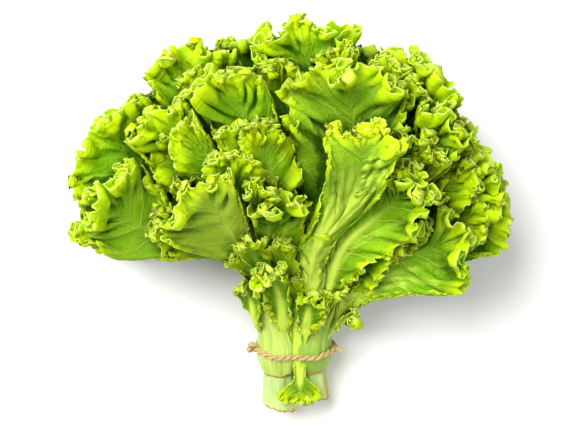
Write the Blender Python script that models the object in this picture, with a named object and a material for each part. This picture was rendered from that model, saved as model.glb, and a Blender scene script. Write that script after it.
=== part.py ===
"""A head of green leaf lettuce, cut with two stumps, tied with twine and lying on a table.

The stems point down the -Y side, the leaves fan out towards +Y, and +Z is up from the table.
Every leaf is one blade that grows from a stem. It keeps to a cell of its own in a map of
directions, so no two leaves cross however much their margins wave.
Lengths are in millimetres and angles in degrees until the meshes are made, in metres.
"""

import math

import bpy
import numpy as np

MM = 0.001

# The stems. Along them, zero is the twine, minus is towards the cut and plus towards the leaves.
STEM_TILT = 12.0
TIE_HEIGHT = 21.0
STEM_HALF_SPACING = 10.0
STEM_SIDES = 16
STEM_LEFT = {"cut": -44.0, "cut_offset": (-10.6, 0.0), "cut_radius": 12.4, "cut_slant": 12.0}
STEM_RIGHT = {"cut": -37.0, "cut_offset": (13.4, -1.5), "cut_radius": 11.2, "cut_slant": 4.0}
STEM_PROFILE = ((-20.0, 0.93), (0.0, 0.765), (18.0, 0.70), (29.0, 0.60), (34.0, 0.42))
CROWN = 36.5
CROWN_SHARE = 0.16
SLANT_SHARE = 0.6
FIRST_START = 6.0
LAST_START = 39.0
CUT_ROUND = 1.5

# The room that the stems take inside the leaves, as (station, radius).
CORE = (
    (-45.0, 13.2), (-20.0, 12.2), (0.0, 9.7), (20.0, 9.0), (30.0, 8.3), (36.0, 6.8),
    (46.0, 4.0), (62.0, 1.2), (80.0, 0.0),
)
SHEATH = 4.8
FAN_DELAY = 6.0
FAN_START = 45.0
SIDE_SPREAD = 72.0
MIDDLE_RISE = 20.0
RISE_SPREAD = 30.0
CORE_SHARE = 0.4
LEFT_HOLD = 0.5
LEFT_HOLD_RUN = (50.0, 110.0)
CORE_CORNER = 0.12

# Slow bends through the head: (axis moved, distance, runs over x, y and z, lag), a run of 0 being none.
SWAY = (
    (0, 5.5, (0.0, 31.0, 43.0), 0.8), (0, 3.0, (0.0, 37.0, 19.0), 0.0),
    (1, 4.5, (35.0, 0.0, -38.0), 2.1),
    (2, 6.5, (33.0, 47.0, 0.0), 0.4), (2, 3.0, (-29.0, 23.0, 0.0), 1.7),
)
SWAY_RUN = (45.0, 80.0)

# The cells that keep the leaves apart.
SIDE_SCALE = 0.87
RISE_SCALE = 2.6
CELL_GAP = 1.15
SIDE_GAP = 2.0
LOWEST_RISE = -10.0
HIGHEST_RISE = 80.0
OPENING_LEAD = 8.0
OPENING_RUN = 22.0
OPENING_SLACK = 55.0
TIED_REACH = 1.15
TIE_LENGTH = 10.0
TIE_WALLS = 12

# The blade.
BLADE_HALF = 0.4
RIB_HEIGHT = 2.6
RIB_HALF_WIDTH = 5.2
RIB_ROW = 0.12
BLADE_ROWS = ((1.0, 1), (0.76, 2), (0.40, 2), (RIB_ROW, 4), (0.0, 4))
WAVE_STEPS = 4
WAVE_HEIGHT = 12.5
WAVE_REACH = 0.42
WAVE_UNEVEN = ((1, 0.10, 1.0), (3, 0.07, 2.3), (5, 0.12, 1.1))
SWELL = 0.25
SWELLS = 2.3
FACE_TURN = (8.0, 70.0)
FOOT_SHARE = 0.90
FOOT_SLOPE = 0.55
RIB_FLARE = 0.08
TIP_BEND_SHARE = 0.7
CUPPING = 0.10
ROOM_LIMIT = 60.0
RIB_ROW_GATHER = 1.25
TABLE_SOFTNESS = 10.0

# The outline of half a blade, as shares of its half width and of its length, from stem to tip: on a
# common leaf with a bare stalk, and on one that opens like a fan close to the stem.
OUTLINE = (
    (0.16, 0.0), (0.13, 0.10), (0.19, 0.22), (0.46, 0.38), (0.80, 0.53),
    (1.0, 0.70), (1.02, 0.85), (0.74, 0.965), (0.0, 1.0),
)
FAN_OUTLINE = (
    (0.16, 0.0), (0.16, 0.08), (0.32, 0.18), (0.72, 0.32), (0.98, 0.48),
    (1.06, 0.66), (1.02, 0.83), (0.70, 0.955), (0.0, 1.0),
)

TWINE_RADIUS = 1.9
TWINE_SIDES = 8
TWINE_STEPS = 32
TWINE_CLEARANCE = 0.8


def leaf(side, rise, reach, half_width=50.0, waves=10, **more):
    """A leaf: its direction in degrees to the side and up from the table, how far along its line the
    tip comes, its half width, and how many waves its margin has. It can also have extra room in the
    map, a bend of its tip, a bow of its stalk to the right, a fan's outline, its face down, a wider
    stalk, the furthest side that it may spread to, a start of its own, and calm, how much its waves
    lie down where its cell squeezes it. One with its reach under its start hangs back over the
    stumps."""
    usual = {
        "room": 0.0, "tip_bend": 2.0, "bow": 0.0, "fan": 0.0, "face_down": False, "stalk": 6.0,
        "furthest": 78.0, "start": None, "calm": 0.0,
    }
    own = {"side": side, "rise": rise, "reach": reach, "half_width": half_width, "waves": waves}
    return {**own, **usual, **more}


LEAVES = {
    "leaf_low_1": leaf(-58, -5, 172, waves=8, face_down=True),
    "leaf_low_2": leaf(-35, -5, 206, waves=8, face_down=True),
    "leaf_low_3": leaf(-10, -5, 213, waves=8, start=-10.0, face_down=True),
    "leaf_low_4": leaf(14, -5, 207, waves=8, start=-13.0, face_down=True),
    "leaf_low_5": leaf(37, -5, 198, waves=8, face_down=True),
    "leaf_low_6": leaf(60, -5, 182, waves=8, face_down=True),
    "leaf_side_1": leaf(-47, 4, 192),
    "leaf_side_2": leaf(-23, 4, 208, waves=8),
    "leaf_side_3": leaf(2, 4, 214, waves=8),
    "leaf_side_4": leaf(26, 4, 203, waves=8),
    "leaf_side_5": leaf(50, 4, 190),
    "leaf_mid_1": leaf(-59, 13, 180),
    "leaf_mid_2": leaf(-36, 13, 208),
    "leaf_mid_3": leaf(-12, 13, 221),
    "leaf_mid_4": leaf(13, 13, 207),
    "leaf_mid_5": leaf(37, 13, 196),
    "leaf_mid_6": leaf(61, 13, 192),
    "leaf_broad_1": leaf(-48, 22, 217, 56, 12),
    "leaf_broad_2": leaf(-22, 22, 225),
    "leaf_broad_3": leaf(3, 22, 232),
    "leaf_broad_4": leaf(26, 22, 216),
    "leaf_broad_5": leaf(50, 22, 192),
    "leaf_left": leaf(-64, 32, 200, 50, room=120.0, bow=4.0, stalk=9.0, start=-19.0),
    "leaf_inner_1": leaf(-37, 31, 206),
    "leaf_inner_2": leaf(-14, 31, 214, calm=0.35),
    "leaf_centre": leaf(12, 33, 216, 52, 12, room=200.0, bow=8.0, stalk=7.5),
    "leaf_inner_3": leaf(36, 32, 205, 46, calm=0.35),
    "leaf_right": leaf(70, 33, 166, 64, 12, room=300.0, fan=1.0, furthest=100.0, start=-12.0, calm=0.65),
    "leaf_folded": leaf(-37, 43, 168, 60, 12, room=60.0, fan=1.0, start=-6.0, calm=0.65),
    "leaf_front_1": leaf(-14, 44, 138, 32, start=-9.0),
    "leaf_front_2": leaf(40, 45, 176, 30, start=-7.0),
    "leaf_small_1": leaf(-92, 46, 64, 24, 8, furthest=125.0, calm=0.65),
    "leaf_small_2": leaf(-22, 62, 84, 24, 8),
    "leaf_small_3": leaf(20, 64, 54, 22, 8),
    "leaf_small_4": leaf(100, 36, 58, 22, 8, furthest=140.0, calm=0.65),
    "leaf_base": leaf(9, 49, -35, 20, 8, start=7.0),
}

BLADE_COLOUR = (0.33, 0.58, 0.05, 1.0)
STEM_COLOUR = (0.60, 0.72, 0.24, 1.0)
TWINE_COLOUR = (0.62, 0.47, 0.26, 1.0)


def smooth(x):
    x = np.clip(x, 0.0, 1.0)
    return x * x * (3.0 - 2.0 * x)


def fade(value, limit, power=4.0):
    """value, held softly within limit on its own side of zero."""
    ratio = np.abs(value) / np.maximum(limit, 1e-6)
    return value / (1.0 + ratio**power) ** (1.0 / power)


def core_radius(station):
    stations, radii = zip(*CORE)
    return np.interp(station, stations, radii)


def tilted(x, along, z):
    """A point beside the stems, given along them and at right angles to them."""
    tilt = math.radians(STEM_TILT)
    return np.stack([
        x,
        along * math.cos(tilt) - z * math.sin(tilt),
        TIE_HEIGHT + along * math.sin(tilt) + z * math.cos(tilt),
    ], axis=-1)


def fan_run(station):
    """How much of the way along a leaf has gone in its own direction, and not along the stems."""
    s = np.maximum(station - FAN_DELAY, 0.0)
    return s * s / (s + FAN_START)


def place(side, rise, station):
    """The point at a station on the line that leaves the stems towards a side and rise in degrees."""
    a, b = side / SIDE_SPREAD, (rise - MIDDLE_RISE) / RISE_SPREAD
    along_core = np.clip(a, -CORE_SHARE, CORE_SHARE)
    out_x, out_z = (a - along_core) / (1.0 - CORE_SHARE), b
    out = np.hypot(out_x, out_z) + 1e-4
    radius = core_radius(station) * np.tanh(out / CORE_CORNER) + SHEATH * out
    x = STEM_HALF_SPACING * along_core / CORE_SHARE + out_x / out * radius
    z = out_z / out * radius
    run = fan_run(station)
    let_go = smooth((station - LEFT_HOLD_RUN[0]) / LEFT_HOLD_RUN[1])
    held = np.where(side < 0.0, LEFT_HOLD * (1.0 - let_go), 0.0)
    side_r, rise_r = np.radians(side * (1.0 - held)), np.radians(rise)
    away = np.stack([
        np.sin(side_r) * np.cos(rise_r),
        np.cos(side_r) * np.cos(rise_r),
        np.sin(rise_r) * np.ones_like(side_r),
    ], axis=-1)
    return settle(sway(tilted(x, station - run, z) + run[..., None] * away))


def sway(points):
    """Slow bends that run through the whole head, so that no leaf stands quite straight."""
    grip = smooth((np.linalg.norm(points, axis=-1) - SWAY_RUN[0]) / SWAY_RUN[1])
    moved = points.copy()
    for axis, distance, runs, lag in SWAY:
        turn = lag + sum(points[..., k] / run for k, run in enumerate(runs) if run)
        moved[..., axis] += grip * distance * np.sin(turn)
    return moved


def settle(points):
    """Low leaves lie on the table: heights under the softness are pressed together above it."""
    z = points[..., 2]
    low = TABLE_SOFTNESS * np.exp(np.minimum(z - TABLE_SOFTNESS, 0.0) / TABLE_SOFTNESS)
    pressed = np.where(z < TABLE_SOFTNESS, low, z)
    return np.concatenate([points[..., :2], pressed[..., None]], axis=-1)


def leaf_start(this):
    """The station where a leaf grows from its stem: outer leaves lowest, inner ones at the crown."""
    if this["start"] is not None:
        return this["start"]
    a, b = this["side"] / SIDE_SPREAD, (this["rise"] - MIDDLE_RISE) / RISE_SPREAD
    out_x = (a - np.clip(a, -CORE_SHARE, CORE_SHARE)) / (1.0 - CORE_SHARE)
    out = math.hypot(out_x, b)
    return LAST_START - (LAST_START - FIRST_START) * min(1.0, max(0.0, out - 0.2) / 0.8)


def label(side, rise):
    return np.array([side * SIDE_SCALE, rise * RISE_SCALE])


def walls(name):
    """The straight walls of a leaf's cell: normals, offsets, and the stations where they start and end.

    The walls that the twine sets end soon after it, and leaves that grow above it have none.
    """
    this = LEAVES[name]
    here = label(this["side"], this["rise"])
    normals, offsets, starts, ends = [], [], [], []
    for other, that in LEAVES.items():
        if other == name:
            continue
        there = label(that["side"], that["rise"])
        apart = np.linalg.norm(there - here)
        normals.append((there - here) / apart)
        offsets.append((there @ there - that["room"] - here @ here + this["room"]) / (2.0 * apart))
        hangs = that["reach"] < leaf_start(that)
        starts.append(-1000.0 if hangs else leaf_start(that))
        ends.append(leaf_start(that) if hangs else 1000.0)
    bounds = [
        ((0.0, -1.0), -LOWEST_RISE * RISE_SCALE), ((0.0, 1.0), HIGHEST_RISE * RISE_SCALE),
        ((-1.0, 0.0), this["furthest"] * SIDE_SCALE), ((1.0, 0.0), this["furthest"] * SIDE_SCALE),
    ]
    for normal, offset in bounds:
        normals.append(np.array(normal))
        offsets.append(offset)
        starts.append(-1000.0)
        ends.append(1000.0)
    if leaf_start(this) < 0.0 or this["reach"] < 0.0:
        for k in range(TIE_WALLS):
            turn = 2.0 * math.pi * (k + 0.5) / TIE_WALLS
            c, s = math.cos(turn), math.sin(turn)
            normal = np.array([
                c / (SIDE_SPREAD * (1.0 - CORE_SHARE) * SIDE_SCALE),
                s / (RISE_SPREAD * RISE_SCALE),
            ])
            size = np.linalg.norm(normal)
            core = abs(c) * CORE_SHARE / (1.0 - CORE_SHARE) + s * MIDDLE_RISE / RISE_SPREAD
            normals.append(normal / size)
            offsets.append((TIED_REACH + core) / size)
            starts.append(-1000.0)
            ends.append(TIE_LENGTH)
    return np.array(normals), np.array(offsets), np.array(starts), np.array(ends)


def room_along(cell, point, step, station):
    """How many steps each point can take before it meets a wall of the cell."""
    normals, offsets, starts, ends = cell
    waiting = smooth((starts[None, :] - OPENING_LEAD - station[:, None]) / OPENING_RUN)
    gone = smooth((station[:, None] - ends[None, :]) / OPENING_RUN)
    left = offsets[None, :] + OPENING_SLACK * (waiting + gone) - point @ normals.T
    facing = step @ normals.T
    reach = np.where(facing > 1e-9, left / np.maximum(facing, 1e-9), 1e6)
    return np.maximum(reach.min(axis=1), 0.0)


def place_label(point, station):
    return place(point[:, 0] / SIDE_SCALE, point[:, 1] / RISE_SCALE, station)


def label_step(point, station, sideways, upwards):
    """The label change that moves each point by that many millimetres sideways and upwards."""
    nudge = 0.5
    here = place_label(point, station)
    along_side = (place_label(point + (nudge, 0.0), station) - here) / nudge
    along_rise = (place_label(point + (0.0, nudge), station) - here) / nudge
    side_length = np.linalg.norm(along_side, axis=1)
    unit = along_side / side_length[:, None]
    lean = (along_rise * unit).sum(axis=1)
    rise_length = np.linalg.norm(along_rise - lean[:, None] * unit, axis=1)
    up = upwards / rise_length
    return np.stack([(sideways - lean * up) / side_length, up], axis=1)


def outline(share, fan):
    """(half width, length) shares of the blade's edge at a share of the way from stem to tip."""
    keys = np.array(OUTLINE) * (1.0 - fan) + np.array(FAN_OUTLINE) * fan
    steps = np.linalg.norm(np.diff(keys * (0.45, 1.0), axis=0), axis=1)
    at = np.concatenate([[0.0], np.cumsum(steps)]) / steps.sum()
    dense = np.linspace(0.0, 1.0, 401)
    kernel = np.hanning(43) / np.hanning(43).sum()
    found = []
    for k in (0, 1):
        padded = np.pad(np.interp(dense, at, keys[:, k]), 21, mode="reflect", reflect_type="odd")
        found.append(np.interp(share, dense, np.convolve(padded, kernel, "valid")))
    return found


def wave_phase(way, waves, seed):
    """How many waves lie between the margin's start and a share of the way round it."""
    turn = 2.0 * math.pi * way
    drift = 0.0
    for times, amount, lag in WAVE_UNEVEN:
        drift += amount / times * (np.sin(times * turn + lag * seed) - math.sin(lag * seed))
    return waves * (way + drift / (2.0 * math.pi))


def face_angle(this, station):
    """Which way the outer side of a blade faces: away from the stem first, then to the sky."""
    a, b = this["side"] / SIDE_SPREAD, (this["rise"] - MIDDLE_RISE) / RISE_SPREAD
    out_x = (a - max(-CORE_SHARE, min(CORE_SHARE, a))) / (1.0 - CORE_SHARE)
    own = math.degrees(math.atan2(b, out_x))
    turn = ((-90.0 if this["face_down"] else 90.0) - own + 180.0) % 360.0 - 180.0
    return np.radians(own + turn * smooth((station - FACE_TURN[0]) / FACE_TURN[1]))


def leaf_seed(name):
    """A number of its own for each leaf, which sets how its margin waves."""
    return 1.0 + 1.7 * list(LEAVES).index(name)


def blade_points(name, way, row):
    """Middle surface points and half thicknesses (inner side, outer side) of a leaf.

    way runs round the margin from the stem by the tip and back, row from the rib at 0 to the edge at 1.
    """
    this = LEAVES[name]
    half_width = this["half_width"]
    seed = leaf_seed(name)
    start = leaf_start(this)
    length = abs(this["reach"] - start)
    hand = np.where(way < 0.5, 1.0, -1.0)
    wide, far = outline(1.0 - np.abs(2.0 * way - 1.0), this["fan"])
    stalk = this["stalk"] * (1.0 - 0.35 * smooth(far / 0.25))
    edge_x = np.maximum(wide * half_width, stalk * (1.0 - smooth((far - 0.15) / 0.15)))
    edge_y = far * length
    foot_y = np.maximum(FOOT_SHARE * edge_y - FOOT_SLOPE * np.maximum(edge_x - stalk, 0.0), 0.0)
    thinning = 1.0 - smooth(foot_y / length / 0.95)
    rib = np.minimum(RIB_HALF_WIDTH * (0.15 + 0.85 * thinning), 0.62 * edge_x + 0.05)
    inner = np.clip(row / RIB_ROW, 0.0, 1.0)
    outer = np.clip((row - RIB_ROW) / (1.0 - RIB_ROW), 0.0, 1.0)
    x = rib * inner + (edge_x - rib) * outer
    y = foot_y + (edge_y - foot_y) * (RIB_FLARE * inner + (1.0 - RIB_FLARE) * outer**1.1)
    station = start + y * math.copysign(1.0, this["reach"] - start)

    ripple = np.sin(2.0 * math.pi * wave_phase(way, this["waves"], seed))
    swell = 1.0 - SWELL + SWELL * np.sin(2.0 * math.pi * way * SWELLS + seed)
    spread = smooth((far - 0.12) / 0.45) * smooth((row - WAVE_REACH) / (1.0 - WAVE_REACH)) ** 1.3
    wave = WAVE_HEIGHT * ripple * swell * spread
    near_tip = np.clip((y / length - TIP_BEND_SHARE) / (1.0 - TIP_BEND_SHARE), 0.0, 1.0)
    bend = this["tip_bend"] * near_tip**2 - CUPPING * half_width * (x / half_width) ** 2 * math.cos(seed)

    cell = walls(name)
    facing = face_angle(this, station)
    home = label(this["side"], this["rise"]) * np.ones((len(station), 1))
    step = label_step(home, station, np.sin(facing), -np.cos(facing))
    home += (this["bow"] * np.sin(math.pi * np.clip(y / length, 0.0, 1.0)))[:, None] * step
    step *= hand[:, None]
    side_room = 0.95 * np.maximum(room_along(cell, home, step, station) - SIDE_GAP, 0.5)
    point = home + fade(x, side_room)[:, None] * step
    lift = bend + wave * (1.0 + (x / side_room) ** 4) ** -this["calm"]

    step = label_step(point, station, np.cos(facing), np.sin(facing))
    up_room = np.minimum(room_along(cell, point, step, station), ROOM_LIMIT) - CELL_GAP
    down_room = np.minimum(room_along(cell, point, -step, station), ROOM_LIMIT) - CELL_GAP
    span = np.maximum(up_room + down_room, 0.5)
    ridge = RIB_HEIGHT * (0.25 + 0.75 * thinning) * (1.0 - smooth((y / length - 0.8) / 0.2))
    ridge *= 1.0 - inner**2 * (1.0 - 0.12 * thinning)
    outer_half = np.minimum(BLADE_HALF + ridge, 0.36 * span)
    inner_half = np.minimum(BLADE_HALF + 0.3 * ridge, 0.30 * span)
    middle = 0.5 * (up_room - outer_half - down_room + inner_half)
    half_span = np.maximum(0.5 * (span - outer_half - inner_half), 0.02)
    lift = middle + fade(lift - middle, half_span)
    return place_label(point + lift[:, None] * step, station), inner_half, outer_half


def leaf_solid(name):
    """Points in millimetres and triangles of a leaf's closed solid."""
    waves = LEAVES[name]["waves"]
    seed = leaf_seed(name)
    steps = waves * WAVE_STEPS
    dense = np.linspace(0.0, 1.0, 2001)
    ways = np.interp(np.arange(steps + 1) / WAVE_STEPS, wave_phase(dense, waves, seed), dense)
    ways[0], ways[-1] = 0.0, 1.0
    way, row, index_rows = [], [], []
    count = 0
    for level, skip in BLADE_ROWS:
        line = ways[::skip]
        if level <= RIB_ROW:
            near = 0.5 * (1.0 - np.abs(2.0 * line - 1.0)) ** RIB_ROW_GATHER
            line = np.where(line < 0.5, near, 1.0 - near)
        if level == 0.0:
            line = 0.5 * (line + 1.0 - line[::-1])
            half = len(line) // 2
            indices = [count + min(i, len(line) - 1 - i) for i in range(len(line))]
            line = line[: half + 1]
        else:
            indices = [count + i for i in range(len(line))]
        way.extend(line)
        row.extend([level] * len(line))
        count += len(line)
        index_rows.append(indices)
    points, inner_half, outer_half = blade_points(name, np.array(way), np.array(row))
    faces = []
    for outer_row, inner_row in zip(index_rows, index_rows[1:]):
        faces += strip(outer_row, inner_row)
    return thicken(points, np.array(faces), inner_half, outer_half, index_rows)


def strip(outer_row, inner_row):
    """Triangles between two rows, where the outer row has as many steps as the inner, or twice."""
    double = len(outer_row) > len(inner_row)
    faces = []
    for i in range(len(inner_row) - 1):
        a, b = inner_row[i], inner_row[i + 1]
        if double:
            p, q, r = outer_row[2 * i : 2 * i + 3]
            faces += [(a, p, q), (a, q, b), (b, q, r)]
        else:
            p, q = outer_row[i], outer_row[i + 1]
            faces += [(a, p, q), (a, q, b)] if i % 2 else [(a, p, b), (b, p, q)]
    return [f for f in faces if len(set(f)) == 3]


def thicken(points, faces, inner_half, outer_half, index_rows):
    """Two skins along the normals of the middle surface, joined round the edge."""
    normals = np.zeros_like(points)
    corners = points[faces]
    face_normals = np.cross(corners[:, 1] - corners[:, 0], corners[:, 2] - corners[:, 0])
    for k in range(3):
        np.add.at(normals, faces[:, k], face_normals)
    normals /= np.linalg.norm(normals, axis=1, keepdims=True)
    outside = points + normals * outer_half[:, None]
    inside = points - normals * inner_half[:, None]
    count = len(points)
    border = index_rows[0] + [row[-1] for row in index_rows[1:]] + [row[0] for row in index_rows[-2:0:-1]]
    skin = [tuple(f) for f in faces]
    skin += [(c + count, b + count, a + count) for a, b, c in faces]
    for a, b in zip(border, border[1:] + border[:1]):
        skin += [(b, a, a + count), (b, a + count, b + count)]
    return np.concatenate([outside, inside]), skin


def stem_solid(stem, hand):
    """A tapering stump from its slanting cut to its rounded crown."""
    cut = stem["cut"]
    rings = [
        (cut, 1.0 - CUT_ROUND / stem["cut_radius"]), (cut + CUT_ROUND, 1.0),
        *STEM_PROFILE, (CROWN, CROWN_SHARE),
    ]
    angles = 2.0 * math.pi * np.arange(STEM_SIDES) / STEM_SIDES
    points = []
    for station, share in rings:
        back = np.clip(station / cut, 0.0, 1.0)
        crown_offset = np.array([hand * STEM_HALF_SPACING, 0.0])
        middle = (1.0 - back) * crown_offset + back * np.array(stem["cut_offset"])
        radius = stem["cut_radius"] * share
        near_cut = smooth((back - SLANT_SHARE) / (1.0 - SLANT_SHARE))
        slant = math.tan(math.radians(stem["cut_slant"])) * near_cut
        x, z = radius * np.cos(angles), radius * np.sin(angles)
        points += list(tilted(middle[0] + x, station - x * slant, middle[1] + z))
    faces = []
    for ring in range(len(rings) - 1):
        for k in range(STEM_SIDES):
            a, b = ring * STEM_SIDES + k, ring * STEM_SIDES + (k + 1) % STEM_SIDES
            faces.append((a, a + STEM_SIDES, b + STEM_SIDES, b))
    faces.append(tuple(range(STEM_SIDES)))
    faces.append(tuple(range(len(points) - 1, len(points) - 1 - STEM_SIDES, -1)))
    return np.array(points), faces


def twine_solid():
    """A closed loop of cord round both stems and the leaf stalks, on a rounded oblong."""
    ring = core_radius(0.0) + SHEATH * 1.2 + TWINE_CLEARANCE + TWINE_RADIUS
    straight = 2.0 * STEM_HALF_SPACING
    total = 2.0 * straight + 2.0 * math.pi * ring
    turns = 2.0 * math.pi * np.arange(TWINE_SIDES) / TWINE_SIDES
    points = []
    for i in range(TWINE_STEPS):
        d = total * i / TWINE_STEPS
        if d < straight:
            centre, normal = (d - straight / 2, ring), (0.0, 1.0)
        elif d < straight + math.pi * ring:
            angle = math.pi / 2 - (d - straight) / ring
            normal = (math.cos(angle), math.sin(angle))
            centre = (straight / 2 + ring * normal[0], ring * normal[1])
        elif d < 2 * straight + math.pi * ring:
            centre, normal = (straight * 1.5 + math.pi * ring - d, -ring), (0.0, -1.0)
        else:
            angle = -math.pi / 2 - (d - 2 * straight - math.pi * ring) / ring
            normal = (math.cos(angle), math.sin(angle))
            centre = (-straight / 2 + ring * normal[0], ring * normal[1])
        outward = TWINE_RADIUS * np.cos(turns)
        points += list(tilted(
            centre[0] + outward * normal[0], TWINE_RADIUS * np.sin(turns), centre[1] + outward * normal[1],
        ))
    faces = []
    for i in range(TWINE_STEPS):
        this_ring, next_ring = i * TWINE_SIDES, (i + 1) % TWINE_STEPS * TWINE_SIDES
        for k in range(TWINE_SIDES):
            after = (k + 1) % TWINE_SIDES
            faces.append((next_ring + k, next_ring + after, this_ring + after, this_ring + k))
    return np.array(points), faces


def colour(name, rgba, roughness):
    material = bpy.data.materials.new(name)
    material.use_nodes = True
    shader = material.node_tree.nodes["Principled BSDF"]
    shader.inputs["Base Color"].default_value = rgba
    shader.inputs["Roughness"].default_value = roughness
    return material


def add(name, points, faces, material, sides=None):
    """A named object; where its sides are counted, its sides are shaded smooth and its ends flat."""
    mesh = bpy.data.meshes.new(name)
    mesh.from_pydata((points * MM).tolist(), [], [tuple(int(i) for i in f) for f in faces])
    mesh.materials.append(material)
    if sides:
        mesh.polygons.foreach_set("use_smooth", [p.loop_total < sides for p in mesh.polygons])
    made = bpy.data.objects.new(name, mesh)
    bpy.context.scene.collection.objects.link(made)


def main():
    for old in list(bpy.data.objects):
        bpy.data.objects.remove(old)
    green = colour("leaf", BLADE_COLOUR, 0.45)
    pale = colour("stem", STEM_COLOUR, 0.5)
    tan = colour("twine", TWINE_COLOUR, 0.9)
    solids = {
        "stem_left": (stem_solid(STEM_LEFT, -1), pale, STEM_SIDES),
        "stem_right": (stem_solid(STEM_RIGHT, 1), pale, STEM_SIDES),
        "twine": (twine_solid(), tan, TWINE_SIDES),
    }
    for name in LEAVES:
        solids[name] = (leaf_solid(name), green, None)
    every = np.concatenate([points for (points, _), _, _ in solids.values()])
    low, high = every.min(axis=0), every.max(axis=0)
    base = np.array([(low[0] + high[0]) / 2.0, (low[1] + high[1]) / 2.0, low[2]])
    for name, ((points, faces), material, sides) in solids.items():
        add(name, points - base, faces, material, sides)


main()
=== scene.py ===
# %% [markdown]
# # A bunch of green leaf lettuce
# Two stumps of loose-leaf lettuce lie on a table, tied with twine, and some three dozen frilled
# leaves fan out from them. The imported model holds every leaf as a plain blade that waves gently.
# This script keeps each blade's place and gives it what the eye looks for: a ruffled margin,
# raised veins, and flesh that lets the light through.
# Lengths are in millimetres and angles in degrees until a mesh is made, in metres.

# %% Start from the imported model
import math

import bpy
import numpy as np
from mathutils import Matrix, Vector


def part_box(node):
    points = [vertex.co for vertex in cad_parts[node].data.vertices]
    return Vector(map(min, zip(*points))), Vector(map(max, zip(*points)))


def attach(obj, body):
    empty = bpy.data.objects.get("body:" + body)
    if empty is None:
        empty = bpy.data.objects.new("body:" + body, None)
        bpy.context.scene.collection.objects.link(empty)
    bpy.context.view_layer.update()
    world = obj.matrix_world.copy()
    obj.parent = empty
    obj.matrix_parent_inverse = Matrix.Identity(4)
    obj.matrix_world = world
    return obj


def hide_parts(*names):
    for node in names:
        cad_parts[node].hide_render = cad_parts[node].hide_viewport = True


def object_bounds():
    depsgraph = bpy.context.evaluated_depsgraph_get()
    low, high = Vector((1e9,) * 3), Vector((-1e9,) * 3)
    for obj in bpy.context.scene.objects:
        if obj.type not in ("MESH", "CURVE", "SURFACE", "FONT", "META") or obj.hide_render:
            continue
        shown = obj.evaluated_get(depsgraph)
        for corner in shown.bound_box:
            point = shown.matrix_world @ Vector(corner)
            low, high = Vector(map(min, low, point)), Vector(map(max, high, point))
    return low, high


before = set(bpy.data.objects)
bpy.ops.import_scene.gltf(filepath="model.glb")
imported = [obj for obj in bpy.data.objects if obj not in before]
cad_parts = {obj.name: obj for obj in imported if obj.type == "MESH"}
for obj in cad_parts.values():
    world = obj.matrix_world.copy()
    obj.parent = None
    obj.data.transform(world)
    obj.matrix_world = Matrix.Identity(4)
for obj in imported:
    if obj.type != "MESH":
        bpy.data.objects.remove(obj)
cad_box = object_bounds()
MM = 0.001
print("packed nodes:", len(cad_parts))

# %% [markdown]
# ## Where the drawing's zero lies
# The leaves are worked out around the middle of the twine, at the height where it ties the stems.
# The twine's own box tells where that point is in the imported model, so nothing has to be fitted.

# %% Find the twine
TIE_HEIGHT = 21
twine_low, twine_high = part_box("twine")
ORIGIN = np.array((twine_low + twine_high) / 2) - (0, 0, TIE_HEIGHT * MM)
print("twine centre at", np.round(ORIGIN, 4))

# %% [markdown]
# ## Camera
# The bunch was photographed from straight above, as it lay. A long lens a metre up keeps the
# stems and the raised leaves at nearly the same scale, which is how the picture looks.

# %% Hang the camera over the bunch
PHOTO_WIDTH, PHOTO_HEIGHT = 586, 440
PIXEL = 0.667
TWINE_PIXEL = (295, 352)
CAMERA_HEIGHT, MIDDLE_HEIGHT = 1.0, 0.06
SENSOR = 36


def into_scene(name, data):
    thing = bpy.data.objects.new(name, data)
    bpy.context.scene.collection.objects.link(thing)
    return thing


camera = into_scene("camera", bpy.data.cameras.new("camera"))
camera.location = (
    ORIGIN[0] + (PHOTO_WIDTH / 2 - TWINE_PIXEL[0]) * PIXEL * MM,
    ORIGIN[1] + (TWINE_PIXEL[1] - PHOTO_HEIGHT / 2) * PIXEL * MM,
    CAMERA_HEIGHT,
)
camera.data.sensor_width = SENSOR
camera.data.lens = SENSOR * (CAMERA_HEIGHT - MIDDLE_HEIGHT) / (PHOTO_WIDTH * PIXEL * MM)
bpy.context.scene.camera = camera
bpy.context.scene.view_settings.view_transform = "Standard"
print("lens", round(camera.data.lens, 1), "mm")

# %% [markdown]
# ## Table and studio light
# White paper and large soft lamps: one to the upper left that shapes the frills, a weaker one from
# the lower right that opens the shadows, and a white room all round. Hard lamps would draw black
# lines under every ruffle, and the real leaves glow instead.

# %% Lay the table and set the lamps
HALF_TABLE, TABLE_DROP = 4, 0.0005
LAMPS = {  # place, size and watts
    "lamp_key": ((-0.75, 0.65, 1.4), 1.5, 51),
    "lamp_fill": ((1.0, -0.7, 1.3), 1.4, 9),
}
ROOM_COLOUR, ROOM_BRIGHTNESS = (1, 1, 0.98, 1), 0.42
PAPER_COLOUR, PAPER_ROUGHNESS = (0.93, 0.93, 0.92, 1), 0.9

paper = bpy.data.materials.new("white_paper")
paper.use_nodes = True
paper_inputs = paper.node_tree.nodes["Principled BSDF"].inputs
paper_inputs["Base Color"].default_value = PAPER_COLOUR
paper_inputs["Roughness"].default_value = PAPER_ROUGHNESS

table_mesh = bpy.data.meshes.new("table")
corners = [(x * HALF_TABLE, y * HALF_TABLE, -TABLE_DROP) for x, y in ((-1, -1), (1, -1), (1, 1), (-1, 1))]
table_mesh.from_pydata(corners, [], [(0, 1, 2, 3)])
table_mesh.materials.append(paper)
table = into_scene("table", table_mesh)

for lamp_name, (place_at, size, watts) in LAMPS.items():
    lamp = bpy.data.lights.new(lamp_name, "AREA")
    lamp.shape, lamp.size, lamp.energy = "DISK", size, watts
    hung = into_scene(lamp_name, lamp)
    hung.location = place_at
    hung.rotation_euler = (-Vector(place_at)).to_track_quat("-Z", "Y").to_euler()

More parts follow.
